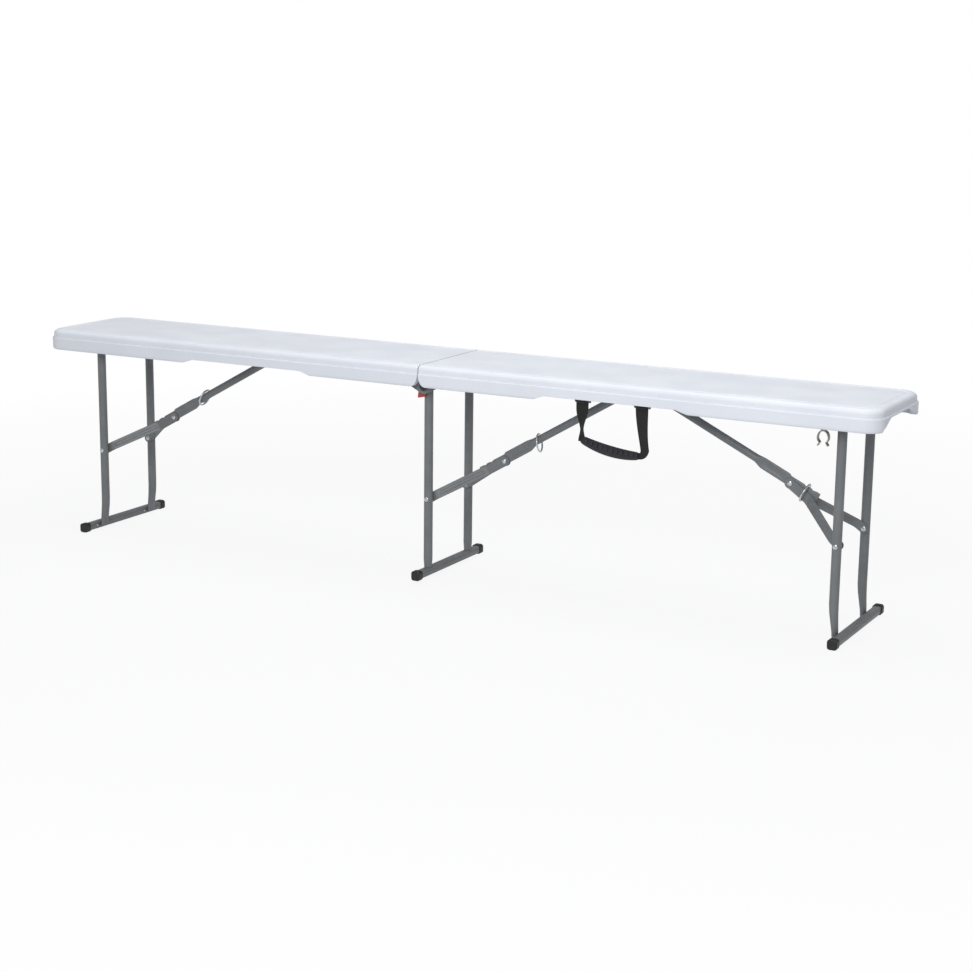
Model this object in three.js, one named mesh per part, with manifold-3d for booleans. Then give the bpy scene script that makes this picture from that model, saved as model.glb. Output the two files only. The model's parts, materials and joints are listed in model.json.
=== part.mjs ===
import * as THREE from "three";
import { mergeVertices } from "three/addons/utils/BufferGeometryUtils.js";
import Module from "manifold-3d";

const wasm = await Module();
wasm.setup();

// A bench that folds in half, in millimetres: +X along the seat, -Y to the front, +Z up.
// The origin is on the floor below the middle of the seat.

// Overall sizes
const benchLength = 1830;
const seatWidth = 254;
const seatHeight = 432;
const footLength = 274;
const centreFootLength = 264;

// Gaps
const clearance = 0.3;
const pinClearance = 0.45;
const sleeveClearance = 0.4;
const overrun = 2;

// Moulded seat halves
const seatDepth = 42;
const foldGap = 2;
const foldDrop = 2;
const seatCornerRadius = 34;
const panelCornerRadius = 24;
const panelThickness = 15;
const skirtWall = 13;
const endWall = 14;
const skirtTuck = 1.2;
const skirtEdge = 3;
const ledgeDrop = 16.5;
const ledgeStep = 2.5;
const rimInset = 4;
const noseRadius = 10;
const grooveInset = 20.5;
const grooveWidth = 5;
const grooveDepth = 0.9;
const lipThickness = 8;
const lipDepth = 26;
const foldCornerRadius = 18;
const recessCornerRadius = 18;
const shallowRise = 8;
const shallowSlope = 24;
const handholdHalf = 66;
const handholdFoot = 102;
const handholdRise = 22;
const handholdLift = 4;
const channelHalf = 22;
const channelStart = 16;
const channelEndInset = 115;
const channelPanel = 7.5;
const clipPocketHalf = 12;
const clipPocketDepth = 5;

// Steel rails and the hinge
const railGauge = 1.5;
const railHeight = 20;
const railInset = 12;
const railStart = 50;
const railEndInset = 35;
const flangeStart = 62;
const flangeInset = 2;
const earRadius = 15;
const hingeRodRadius = 5;
const rodHeadRadius = 8;
const rodHeadThickness = 2.5;
const screwRadius = 4;
const screwHeight = 2;

// Legs
const leftPivotInset = 111;
const rightPivotInset = 81;
const endPivotDrop = 26;
const tubeRadius = 8.75;
const tubeWall = 1.4;
const tubeInset = 20.8;
const trunnionRadius = 5;
const trunnionBore = 3.2;
const trunnionTaper = 4;
const trunnionHeadRadius = 7;
const trunnionHeadThickness = 1.8;
const footBarSize = 15.5;
const footBarRadius = 3.5;
const creaseDepth = 0.7;
const creaseWidth = 1.6;
const capSize = 19;
const capRadius = 5;
const capLength = 20;
const capEndThickness = 3;
const capRounding = 1.6;
const footKick = 18;
const kickHeight = 65;
const flattened = 9.8;
const tubeEndRaise = 3;
const centreFootLift = 6;

// Folding braces
const yokeReach = 147;
const sharedPinSpacing = 19.1714;
const bracePivotDrop = 23.5;
const braceRadius = 7.5;
const braceWall = 1.2;
const braceOffset = 5.5;
const bladeHeight = 22;
const bladeShift = 1.5;
const bladeThickness = 4;
const bladeSlot = 1.2;
const bladeEnd = 62;
const bladeTaper = 16;
const tailLength = 58;
const tailStep = 2.6;
const tailStepStart = 6;
const beadHeight = 5;
const beadDepth = 0.7;
const beadStart = 16;
const beadEnd = 56;
const eyeRadius = 6.5;
const eyeThickness = 4;
const eyeFlat = 11;
const eyeTaper = 20;
const pinRadius = 2.9;
const armGauge = 2.5;
const armHalfHeight = 9.6;
const armEarRadius = 10.5;
const armEndRadius = 9;
const armParallel = 43;
const armFlatLength = 15;
const armBeadInset = 3;
const armBeadMargin = 6;
const armBeadHeight = 5;
const armBeadRise = 0.9;
const rivetRadius = 3;
const rivetHeadRadius = 4.8;
const rivetHeadRise = 1.9;

// Locking rings
const ringRadius = 17.6;
const ringWire = 1.6;
const ringRest = 80;
const engagedRingRest = 32;
const engagedRingDrop = 6.55;

// Brace brackets under the panel
const bracketGauge = 1.6;
const bracketHalfWidth = 17;
const bracketHalfLength = 22;
const bracketEarHalf = 14;
const bracketEarRadius = 7;
const bracketScrewX = 16;
const bracketScrewY = 11;

// Spring clip that holds the left leg when the bench is folded
const clipGauge = 1.8;
const clipInner = 9.2;
const clipWaist = 5;
const clipFootSpread = 9.6;
const clipFootDrop = 14.5;
const clipWidth = 8.8;
const clipPostHalf = 4;
const clipPlateHalf = 12;

// Red latch on the centre leg's cross tube
const latchWall = 3.4;
const latchGap = 1.4;
const latchWidth = 7;
const latchTabLeft = 15.5;
const latchTabRight = 0.5;
const latchTabDrop = 24;

// Carry handle
const handleDrop = 38;
const handleOut = 5.2;
const webbingThickness = 2.4;
const webbingWidth = 25.4;
const leftStrapX = 343;
const rightStrapX = 463;
const strapEyeRadius = 3.7;
const strapEyeBore = 1.8;
const anchorPinRadius = 1.4;
const anchorEarGauge = 2;
const gripLeftX = 344;
const gripLeftDrop = 111;
const gripRightX = 459;
const gripRightDrop = 130.5;
const gripBow = 6.5;
const gripEndHalf = 7.2;
const gripBelly = 3;
const gripRibDepth = 0.8;
const gripRibs = 13;

// Angles, in degrees
const straightBend = -1;
const engagedBend = 8.7;
const earLean = 20;
const leftStrapTwist = 83;

// Shares of a neighbouring size
const shallowShares = [271 / 915, 535 / 915];
const railScrewShares = [0.04, 0.27, 0.5, 0.73, 0.96];
const headEdgeShare = 1 / 3;
const crownRadiusShare = 0.75;
const crownRiseShare = 0.8;
const beadEndShare = 0.9;
const twistEndShare = 0.85;
const gatherStartShare = 0.5;
const leftGatherShare = 0.45;
const rightGatherShare = 0.34;
const strapLeanShare = 0.32;
const curlShare = 0.45;
const curlWidthShare = 0.8;

// Exponents that square up an oval, the smaller the squarer
const bladeSquareness = 0.7;
const webSquareness = 0.5;

// Facets
const tubeSides = 16;
const smallSides = 10;
const ringSteps = 22;
const wireSides = 6;
const cornerSteps = 4;
const filletSteps = 3;
const noseSteps = 3;
const kickSteps = 4;
const twistSteps = 8;
const curlSteps = 4;
const halvings = 50;
const webSides = 8;
const gripSides = 10;
const screwSides = 8;

// Places worked out from the sizes
const halfLength = benchLength / 2;
const halfWidth = seatWidth / 2;
const seatBottom = seatHeight - seatDepth;
const foldZ = seatBottom - foldDrop;
const foldFace = foldGap / 2;
const ceiling = seatHeight - panelThickness;
const channelCeiling = seatHeight - channelPanel;
const recessHalf = halfWidth - skirtWall;
const channelEnd = halfLength - channelEndInset;
const [shallowStart, shallowEnd] = shallowShares.map((share) => halfLength * share);
const rightRailInner = recessHalf - railInset;
const leftRailInner = rightRailInner - railGauge - 2 * clearance;
const rightRailOuter = rightRailInner + railGauge;
const railTop = ceiling - clearance;
const railBottom = railTop - railHeight;
const railEnd = halfLength - railEndInset;
const flangeReach = recessHalf - flangeInset;
const leftPivotX = halfLength - leftPivotInset;
const rightPivotX = halfLength - rightPivotInset;
const tubeSpread = rightRailInner - tubeInset;
const endPivotZ = seatHeight - endPivotDrop;
const bracePivotZ = seatHeight - bracePivotDrop;
const handleZ = seatHeight - handleDrop;
const handleY = -(rightRailOuter + handleOut);
const armSpreadEnd = yokeReach - armFlatLength;
const clipFar = leftRailInner - 2 * clearance;
const clipNear = clipFar - clipWidth;
const latchNear = leftRailInner - latchGap - latchWidth;

// Colours and surfaces
const finishes = {
  seat: { color: 0xdfe2ea, roughness: 0.45, metalness: 0 },
  steel: { color: 0x707676, roughness: 0.42, metalness: 0.35 },
  zinc: { color: 0xc4c7c9, roughness: 0.28, metalness: 1 },
  spring: { color: 0x86847e, roughness: 0.35, metalness: 0.9 },
  rubber: { color: 0x1c1d1f, roughness: 0.6, metalness: 0 },
  webbing: { color: 0x202122, roughness: 0.9, metalness: 0 },
  grip: { color: 0x2d2c32, roughness: 0.7, metalness: 0 },
  red: { color: 0xaa3c37, roughness: 0.5, metalness: 0 },
};

const axisX = new THREE.Vector3(1, 0, 0);
const axisY = new THREE.Vector3(0, 1, 0);
const axisZ = new THREE.Vector3(0, 0, 1);
const quarterTurn = Math.PI / 2;

// Solids

// The closed solid of a geometry, with its shared corners merged and its empty triangles left out.
function solidOf(geometry) {
  const bare = geometry.clone();
  bare.deleteAttribute("normal");
  bare.deleteAttribute("uv");
  const welded = mergeVertices(bare);
  const corners = welded.index.array;
  const kept = [];
  for (let i = 0; i < corners.length; i += 3) {
    const [a, b, c] = corners.slice(i, i + 3);
    if (a !== b && b !== c && c !== a) kept.push(a, b, c);
  }
  const vertProperties = welded.attributes.position.array;
  return new wasm.Manifold(new wasm.Mesh({ numProp: 3, vertProperties, triVerts: new Uint32Array(kept) }));
}

function geometryOf(shape) {
  if (shape.isBufferGeometry) return shape;
  const { vertProperties, triVerts } = shape.getMesh();
  const geometry = new THREE.BufferGeometry();
  geometry.setAttribute("position", new THREE.BufferAttribute(new Float32Array(vertProperties), 3));
  geometry.setIndex(new THREE.BufferAttribute(new Uint32Array(triVerts), 1));
  geometry.computeVertexNormals();
  return geometry;
}

function asSolid(shape) {
  return shape.isBufferGeometry ? solidOf(shape) : shape;
}

function join(...shapes) {
  return shapes.map(asSolid).reduce((whole, shape) => whole.add(shape));
}

function cut(body, ...cutters) {
  return cutters.map(asSolid).reduce((whole, cutter) => whole.subtract(cutter), asSolid(body));
}

function common(first, second) {
  return asSolid(first).intersect(asSolid(second));
}

// The mirror image of a shape across the planes whose sign is -1, with its faces still out.
function mirrored(shape, signX, signY) {
  const geometry = geometryOf(shape).clone().scale(signX, signY, 1);
  if (signX * signY > 0) return geometry;
  const flipped = geometry.index.array.slice();
  for (let i = 0; i < flipped.length; i += 3) {
    [flipped[i + 1], flipped[i + 2]] = [flipped[i + 2], flipped[i + 1]];
  }
  return geometry.setIndex(new THREE.BufferAttribute(flipped, 1));
}

// Outlines and profiles

// Points of an arc round a centre, from one angle to another.
function arc(centreX, centreY, radius, from, to, steps) {
  const points = [];
  for (let k = 0; k <= steps; k += 1) {
    const angle = from + ((to - from) * k) / steps;
    points.push(new THREE.Vector2(centreX + radius * Math.cos(angle), centreY + radius * Math.sin(angle)));
  }
  return points;
}

// A closed outline through corners [x, y, fillet radius].
function outline(corners) {
  const points = [];
  const count = corners.length;
  corners.forEach(([x, y, radius], i) => {
    const corner = new THREE.Vector2(x, y);
    if (!radius) {
      points.push(corner);
      return;
    }
    const [lastX, lastY] = corners[(i + count - 1) % count];
    const [nextX, nextY] = corners[(i + 1) % count];
    const toLast = new THREE.Vector2(lastX - x, lastY - y).normalize();
    const toNext = new THREE.Vector2(nextX - x, nextY - y).normalize();
    const half = Math.acos(THREE.MathUtils.clamp(toLast.dot(toNext), -1, 1)) / 2;
    const bisector = toLast.clone().add(toNext).normalize();
    const centre = bisector.multiplyScalar(radius / Math.sin(half)).add(corner);
    const start = toLast.multiplyScalar(radius / Math.tan(half)).add(corner).sub(centre);
    const end = toNext.multiplyScalar(radius / Math.tan(half)).add(corner).sub(centre);
    const turn = Math.atan2(start.cross(end), start.dot(end));
    for (let k = 0; k <= filletSteps; k += 1) {
      const swung = start.clone().rotateAround(new THREE.Vector2(), (turn * k) / filletSteps);
      points.push(swung.add(centre));
    }
  });
  return new THREE.Shape(points);
}

// The outline of a bent strip: its centre line moved by half the gauge to each side, mitred at the bends.
function strip(centreLine, gauge) {
  const sides = [[], []];
  centreLine.forEach((point, i) => {
    const before = centreLine[Math.max(i - 1, 0)];
    const after = centreLine[Math.min(i + 1, centreLine.length - 1)];
    const arriving = (i ? point.clone().sub(before) : after.clone().sub(point)).normalize();
    const leaving = (i < centreLine.length - 1 ? after.clone().sub(point) : arriving.clone()).normalize();
    const along = arriving.clone().add(leaving).normalize();
    const reach = gauge / 2 / along.dot(arriving);
    const across = new THREE.Vector2(-along.y, along.x).multiplyScalar(reach);
    sides[0].push(point.clone().add(across));
    sides[1].unshift(point.clone().sub(across));
  });
  return new THREE.Shape([...sides[1], ...sides[0]]);
}

// Plates, blocks, turned pieces and lofts

function extruded(shape, depth) {
  return new THREE.ExtrudeGeometry(shape, { depth, bevelEnabled: false, curveSegments: smallSides });
}

// An outline drawn in X and Z, as a plate between two depths in Y.
function plateXZ(shape, fromY, toY) {
  const turn = new THREE.Matrix4().makeBasis(axisX, axisZ, axisY.clone().negate());
  return extruded(shape, toY - fromY).applyMatrix4(turn).translate(0, toY, 0);
}

// An outline drawn in Y and Z, as a plate between two places in X.
function plateYZ(shape, fromX, toX) {
  const turn = new THREE.Matrix4().makeBasis(axisY, axisZ, axisX);
  return extruded(shape, toX - fromX).applyMatrix4(turn).translate(fromX, 0, 0);
}

// An outline drawn in X and Y, as a plate between two heights.
function plateXY(shape, fromZ, toZ) {
  return extruded(shape, toZ - fromZ).translate(0, 0, fromZ);
}

function block(fromX, toX, fromY, toY, fromZ, toZ) {
  const box = new THREE.BoxGeometry(toX - fromX, toY - fromY, toZ - fromZ);
  return box.translate((fromX + toX) / 2, (fromY + toY) / 2, (fromZ + toZ) / 2);
}

// A turned piece along Y from its profile of [radius, y] points, which run up the outside.
function turned(profile, sides = tubeSides) {
  return new THREE.LatheGeometry(profile.map(([radius, y]) => new THREE.Vector2(radius, y)), sides);
}

function rod(radius, fromY, toY, sides = tubeSides) {
  return turned([[0, fromY], [radius, fromY], [radius, toY], [0, toY]], sides);
}

// A closed skin over rings of equal count; each ring runs anticlockwise round the way the rings follow.
function loft(rings) {
  const count = rings[0].length;
  const positions = rings.flat().flatMap((point) => point.toArray());
  const triangles = [];
  for (let i = 0; i + 1 < rings.length; i += 1) {
    for (let j = 0; j < count; j += 1) {
      const a = i * count + j;
      const b = i * count + ((j + 1) % count);
      triangles.push(a, b, b + count, a, b + count, a + count);
    }
  }
  const last = (rings.length - 1) * count;
  for (let j = 1; j + 1 < count; j += 1) {
    triangles.push(0, j + 1, j, last, last + j, last + j + 1);
  }
  const geometry = new THREE.BufferGeometry();
  geometry.setAttribute("position", new THREE.Float32BufferAttribute(positions, 3));
  return geometry.setIndex(triangles);
}

// An oval ring of half sizes across and up, round a centre; across turned to up runs anticlockwise.
function oval(centre, across, up, halfAcross, halfUp, sides, squareness = 1) {
  const ring = [];
  for (let k = 0; k < sides; k += 1) {
    const angle = (2 * Math.PI * (k + 0.5)) / sides;
    const c = Math.cos(angle);
    const s = Math.sin(angle);
    const point = centre.clone();
    point.addScaledVector(across, halfAcross * Math.sign(c) * Math.abs(c) ** squareness);
    point.addScaledVector(up, halfUp * Math.sign(s) * Math.abs(s) ** squareness);
    ring.push(point);
  }
  return ring;
}

function ease(t) {
  return t * t * (3 - 2 * t);
}

// Scene graph

const bench = new THREE.Group();

function place(parent, name, shape, finish) {
  const mesh = new THREE.Mesh(geometryOf(shape), new THREE.MeshStandardMaterial(finishes[finish]));
  mesh.name = name;
  parent.add(mesh);
  return mesh;
}

// A group at a point, turned up from +X by an angle in the X-Z plane.
function pivot(parent, x, z, rise) {
  const group = new THREE.Group();
  group.position.set(x, 0, z);
  group.rotation.y = -rise;
  parent.add(group);
  return group;
}

// Seat halves

// The half's outline at an inset from the skirt: square at the fold, round at the far corners.
function seatRing(inset, z) {
  const share = inset / (grooveInset + grooveWidth / 2);
  const radius = seatCornerRadius + (panelCornerRadius - seatCornerRadius) * share;
  const farX = halfLength - inset;
  const farY = halfWidth - inset;
  const corners = [
    new THREE.Vector2(foldFace, -farY),
    ...arc(farX - radius, radius - farY, radius, -quarterTurn, 0, cornerSteps),
    ...arc(farX - radius, farY - radius, radius, 0, quarterTurn, cornerSteps),
    new THREE.Vector2(foldFace, farY),
  ];
  return corners.map((corner) => new THREE.Vector3(corner.x, corner.y, z));
}

// The edge from the bottom of the skirt up to the flat panel, as [inset, height] points.
function edgeProfile() {
  const nose = arc(rimInset + noseRadius, seatHeight - noseRadius, noseRadius, Math.PI, quarterTurn, noseSteps);
  return [
    [skirtTuck, seatBottom],
    [0, seatBottom + skirtEdge],
    [0, seatHeight - ledgeDrop - ledgeStep],
    [skirtTuck, seatHeight - ledgeDrop],
    [rimInset, seatHeight - ledgeDrop + ledgeStep],
    ...nose.map((point) => [point.x, point.y]),
    [grooveInset - grooveWidth / 2, seatHeight],
    [grooveInset, seatHeight - grooveDepth],
    [grooveInset + grooveWidth / 2, seatHeight],
  ];
}

function recessCutter() {
  const farX = halfLength - endWall;
  const corners = [
    [foldFace + lipThickness, -recessHalf],
    [farX, -recessHalf, recessCornerRadius],
    [farX, recessHalf, recessCornerRadius],
    [foldFace + lipThickness, recessHalf],
  ];
  return plateXY(outline(corners), seatBottom - overrun, ceiling);
}

function channelCutter() {
  const corners = [
    [channelStart, -channelHalf, channelHalf / 2],
    [channelEnd, -channelHalf, channelHalf / 2],
    [channelEnd, channelHalf, channelHalf / 2],
    [channelStart, channelHalf, channelHalf / 2],
  ];
  return plateXY(outline(corners), ceiling - overrun, channelCeiling);
}

// The lip across the fold end stops short of the skirt's depth, so that the hinge pieces pass below it.
function lipCutter() {
  const farX = foldFace + lipThickness + overrun;
  return block(foldFace - overrun, farX, -recessHalf, recessHalf, seatBottom - overrun, seatHeight - lipDepth);
}

// Rounds the skirt's lower corner at the fold, right across the seat.
function foldCornerCutter() {
  const centreX = foldFace + foldCornerRadius;
  const centreZ = seatBottom + foldCornerRadius;
  const points = [
    new THREE.Vector2(foldFace - overrun, seatBottom - overrun),
    new THREE.Vector2(centreX, seatBottom - overrun),
    ...arc(centreX, centreZ, foldCornerRadius, -quarterTurn, -Math.PI, cornerSteps),
    new THREE.Vector2(foldFace - overrun, centreZ),
  ];
  return plateXZ(new THREE.Shape(points), -halfWidth - overrun, halfWidth + overrun);
}

// The shallow stretch of both long skirts, where the folded legs' feet lie.
function shallowCutter() {
  const corners = [
    [shallowStart - shallowSlope, seatBottom - overrun],
    [shallowEnd + shallowSlope, seatBottom - overrun],
    [shallowEnd + shallowSlope, seatBottom],
    [shallowEnd, seatBottom + shallowRise],
    [shallowStart, seatBottom + shallowRise],
    [shallowStart - shallowSlope, seatBottom],
  ];
  return plateXZ(outline(corners), -halfWidth - overrun, halfWidth + overrun);
}

function handholdCutter() {
  const top = seatBottom + handholdRise;
  const foot = seatBottom + handholdLift;
  const flare = handholdLift / 2;
  const corners = [
    [-handholdFoot - flare, seatBottom - overrun],
    [handholdFoot + flare, seatBottom - overrun],
    [handholdFoot, foot, handholdLift],
    [handholdHalf, top, handholdLift],
    [-handholdHalf, top, handholdLift],
    [-handholdFoot, foot, handholdLift],
  ];
  return plateYZ(outline(corners), halfLength - endWall - overrun, halfLength + overrun);
}

// The left half's relief for the feet of the leg clip, which reach its panel when the bench is folded.
function clipPocketCutter() {
  const top = ceiling + clipPocketDepth;
  const corners = [
    [leftPivotX - clipPocketHalf, -clipFar - clearance],
    [leftPivotX + clipPocketHalf, -clipFar - clearance],
    [leftPivotX + clipPocketHalf, clearance - clipNear],
    [leftPivotX - clipPocketHalf, clearance - clipNear],
  ];
  return plateXY(outline(corners), ceiling - overrun, top);
}

function seatHalf(...firstCutters) {
  const body = loft(edgeProfile().map(([inset, z]) => seatRing(inset, z)));
  const cutters = [
    ...firstCutters,
    foldCornerCutter(),
    handholdCutter(),
    channelCutter(),
    shallowCutter(),
    lipCutter(),
    recessCutter(),
  ];
  return cut(body, ...cutters);
}

place(bench, "top_right", seatHalf(), "seat");
place(bench, "top_left", mirrored(seatHalf(clipPocketCutter()), -1, 1), "seat");

// Rails

// The rail's web with its hinge ear, seen from the side: the ear runs up from a disc round the fold axis.
function webOutline() {
  const lean = THREE.MathUtils.degToRad(earLean);
  const disc = arc(0, foldZ, earRadius, quarterTurn - lean, 3 * quarterTurn + lean, tubeSides);
  return new THREE.Shape([
    ...disc,
    new THREE.Vector2(railStart, railBottom),
    new THREE.Vector2(railEnd, railBottom),
    new THREE.Vector2(railEnd, railTop),
    new THREE.Vector2(railStart, railTop),
  ]);
}

function railScrews(inner) {
  return railScrewShares.map((share) => {
    const head = rod(screwRadius, 0, screwHeight + railGauge / 2, screwSides).rotateX(quarterTurn);
    const x = flangeStart + (railEnd - flangeStart) * share;
    const y = (inner + railGauge + flangeReach) / 2;
    return head.translate(x, y, railTop - railGauge - screwHeight);
  });
}

function rail(inner, pivotX) {
  const web = plateXZ(webOutline(), inner, inner + railGauge);
  const flange = block(flangeStart, railEnd, inner, flangeReach, railTop - railGauge, railTop);
  const holes = [
    rod(hingeRodRadius + pinClearance, inner - overrun, inner + overrun).translate(0, 0, foldZ),
    rod(trunnionRadius + pinClearance, inner - overrun, inner + overrun).translate(pivotX, 0, endPivotZ),
  ];
  return cut(join(web, flange, ...railScrews(inner)), ...holes);
}

// A wire pin between two small ears on the rail's outside, for a strap's loop. Drawn for the rear side.
function strapAnchor(x) {
  const near = x - webbingWidth / 2 - clearance;
  const far = x + webbingWidth / 2 + clearance;
  const y = -handleY;
  const corners = [
    [rightRailOuter - railGauge / 2, handleZ - strapEyeRadius],
    [y, handleZ - strapEyeRadius, strapEyeRadius - clearance],
    [y + strapEyeRadius, handleZ, strapEyeRadius - clearance],
    [y, handleZ + strapEyeRadius, strapEyeRadius - clearance],
    [rightRailOuter - railGauge / 2, railBottom + railHeight / 2],
  ];
  const ears = [near - anchorEarGauge, far].map((start) => plateYZ(outline(corners), start, start + anchorEarGauge));
  const pin = rod(anchorPinRadius, near - anchorEarGauge / 2, far + anchorEarGauge / 2, wireSides);
  return join(...ears, pin.rotateZ(-quarterTurn).translate(0, y, handleZ));
}

const plainRightRail = rail(rightRailInner, rightPivotX);
const handleRail = join(plainRightRail, strapAnchor(leftStrapX), strapAnchor(rightStrapX));
const plainLeftRail = rail(leftRailInner, leftPivotX);
place(bench, "rail_right_front", mirrored(handleRail, 1, -1), "steel");
place(bench, "rail_right_rear", plainRightRail, "steel");
place(bench, "rail_left_front", mirrored(plainLeftRail, -1, -1), "steel");
place(bench, "rail_left_rear", mirrored(plainLeftRail, -1, 1), "steel");

// The hinge rod, with a head outside the right half's rails at each end.
function hingeRod() {
  const seat = rightRailOuter + clearance;
  const end = seat + rodHeadThickness;
  const chamfer = rodHeadThickness * headEdgeShare;
  return turned([
    [0, -end],
    [rodHeadRadius - chamfer, -end],
    [rodHeadRadius, chamfer - end],
    [rodHeadRadius, -seat],
    [hingeRodRadius, -seat],
    [hingeRodRadius, seat],
    [rodHeadRadius, seat],
    [rodHeadRadius, end - chamfer],
    [rodHeadRadius - chamfer, end],
    [0, end],
  ]);
}

place(bench, "hinge_rod", hingeRod().translate(0, 0, foldZ), "zinc");

// Linkage of each leg: where its pivots are at rest, drawn with the brace towards +X.
// The pivot on the tube is as low as folds the leg flat with the brace doubled back on its arms.
function linkage(pivotZ, bendDegrees, braceReach) {
  const bend = THREE.MathUtils.degToRad(bendDegrees);
  const drop = bracePivotZ - pivotZ;
  const lap = Math.sqrt((braceReach - yokeReach) ** 2 - drop ** 2);
  const sweep = 2 * yokeReach * braceReach * Math.cos(bend);
  const span = yokeReach ** 2 + braceReach ** 2 + sweep;
  const sum = lap + drop;
  const hang = (Math.sqrt(2 * span - 2 * (lap ** 2 + drop ** 2) + sum ** 2) - sum) / 2;
  const line = Math.atan2(drop + hang, lap + hang);
  const yokeRise = line + Math.asin((braceReach * Math.sin(bend)) / Math.sqrt(span));
  const elbow = new THREE.Vector2(yokeReach * Math.cos(yokeRise), yokeReach * Math.sin(yokeRise) - hang);
  const top = new THREE.Vector2(lap + hang, drop);
  const reach = top.clone().sub(elbow);
  const braceRise = Math.atan2(reach.y, reach.x) - Math.asin(braceOffset / braceReach);
  return { hang, yokeRise, braceRise, elbow, top };
}

// The braces are as long as brings the centre and right ones to one bracket. The length is found by halving.
function fittedReach() {
  let low = yokeReach + bracePivotZ - foldZ;
  let high = halfLength;
  for (let k = 0; k < halvings; k += 1) {
    const middle = (low + high) / 2;
    const centreTop = linkage(foldZ, straightBend, middle).top.x;
    const rightTop = linkage(endPivotZ, engagedBend, middle).top.x;
    if (centreTop + sharedPinSpacing + rightTop > rightPivotX) high = middle;
    else low = middle;
  }
  return (low + high) / 2;
}

// The brace's axis runs through its top pivot and passes above the elbow rivet.
const braceReach = fittedReach();
const braceAxis = Math.sqrt(braceReach ** 2 - braceOffset ** 2);

const legs = [
  {
    name: "left",
    x: -leftPivotX,
    z: endPivotZ,
    turn: 1,
    kicks: true,
    bend: straightBend,
    railInner: leftRailInner,
    footHalf: footLength / 2,
    footLift: 0,
  },
  {
    name: "center",
    x: 0,
    z: foldZ,
    turn: 1,
    kicks: false,
    bend: straightBend,
    railInner: leftRailInner,
    footHalf: centreFootLength / 2,
    footLift: centreFootLift,
  },
  {
    name: "right",
    x: rightPivotX,
    z: endPivotZ,
    turn: -1,
    kicks: true,
    bend: engagedBend,
    railInner: rightRailInner,
    footHalf: footLength / 2,
    footLift: 0,
  },
];

// Leg pieces, drawn from the leg's own pivot with the brace towards +X

// End legs: a tube necked down at both ends to trunnions, which are swaged over outside the rails.
function trunnionTube(railInner) {
  const shoulder = railInner - clearance;
  const head = railInner + railGauge + clearance;
  const end = head + trunnionHeadThickness;
  const inner = tubeRadius - tubeWall;
  const half = [
    [trunnionRadius, shoulder],
    [trunnionRadius, head],
    [trunnionHeadRadius, head],
    [trunnionHeadRadius, end],
    [trunnionBore, end],
    [trunnionBore, shoulder - tubeWall],
    [inner, shoulder - tubeWall - trunnionTaper],
  ];
  const low = half.map(([radius, y]) => [radius, -y]).reverse();
  return turned([
    ...low,
    [tubeRadius, -shoulder],
    [tubeRadius, shoulder],
    ...half,
    [inner, shoulder - tubeWall - trunnionTaper],
    low[0],
  ]);
}

// Centre leg: a plain tube round the hinge rod.
function sleeveTube(railInner) {
  const end = railInner - clearance;
  const bore = hingeRodRadius + sleeveClearance;
  return turned([
    [bore, -end],
    [tubeRadius, -end],
    [tubeRadius, end],
    [bore, end],
    [bore, -end],
  ]);
}

function footCentreZ(leg) {
  return leg.footLift + capSize / 2 - leg.z;
}

function footCentreX(leg) {
  return leg.kicks ? -footKick : 0;
}

// End legs: the last stretch swings outwards and flattens to lie against the foot bar's face.
function kickedTube(leg) {
  const bottom = tubeEndRaise - leg.z;
  const start = bottom + kickHeight;
  const shift = footKick - footBarSize / 2 - clearance - flattened / 2;
  const wide = Math.PI * tubeRadius / 2 - flattened / 4;
  const rings = [];
  for (let k = 0; k <= kickSteps; k += 1) {
    const share = 1 - k / kickSteps;
    const t = ease(share);
    const centre = new THREE.Vector3(-shift * t, 0, bottom + kickHeight * (1 - share));
    const halfX = tubeRadius + (flattened / 2 - tubeRadius) * t;
    const halfY = tubeRadius + (wide - tubeRadius) * t;
    rings.push(oval(centre, axisX, axisY, halfX, halfY, tubeSides));
  }
  rings.push(oval(new THREE.Vector3(), axisX, axisY, tubeRadius, tubeRadius, tubeSides));
  return { body: loft(rings), boreStart: start };
}

// Centre leg: the tube narrows to the bar's width and stands on it.
function standingTube(leg) {
  const bottom = footCentreZ(leg) + footBarSize / 2 + clearance;
  const narrow = footBarSize / 2 - creaseDepth;
  const start = bottom + footBarSize;
  const rings = [
    oval(new THREE.Vector3(0, 0, bottom), axisX, axisY, narrow, tubeRadius, tubeSides),
    oval(new THREE.Vector3(0, 0, start), axisX, axisY, tubeRadius, tubeRadius, tubeSides),
    oval(new THREE.Vector3(), axisX, axisY, tubeRadius, tubeRadius, tubeSides),
  ];
  return { body: loft(rings), boreStart: start };
}

function legTube(leg, hang) {
  const { body, boreStart } = leg.kicks ? kickedTube(leg) : standingTube(leg);
  const bore = rod(tubeRadius - tubeWall, boreStart, overrun).rotateX(quarterTurn);
  const past = tubeRadius + overrun;
  const saddle = rod(tubeRadius + clearance, -past, past);
  const rest = block(-past, past, -past, past, 0, overrun);
  const rivetHole = rod(rivetRadius + clearance, -past, past, smallSides);
  return cut(body, bore, saddle, rest, rivetHole.translate(0, 0, -hang));
}

// The bar's section: a rounded square with a pressed crease along each side.
function barSection() {
  const half = footBarSize / 2;
  const crease = half - footBarRadius - creaseWidth;
  const rightSide = [
    [half, crease - creaseWidth / 2],
    [half - creaseDepth, crease],
    [half, crease + creaseWidth / 2],
  ];
  const leftSide = rightSide.map(([x, z]) => [-x, z]).reverse();
  return outline([
    [half, -half, footBarRadius],
    ...rightSide,
    [half, half, footBarRadius],
    [-half, half, footBarRadius],
    ...leftSide,
    [-half, -half, footBarRadius],
  ]);
}

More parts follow.
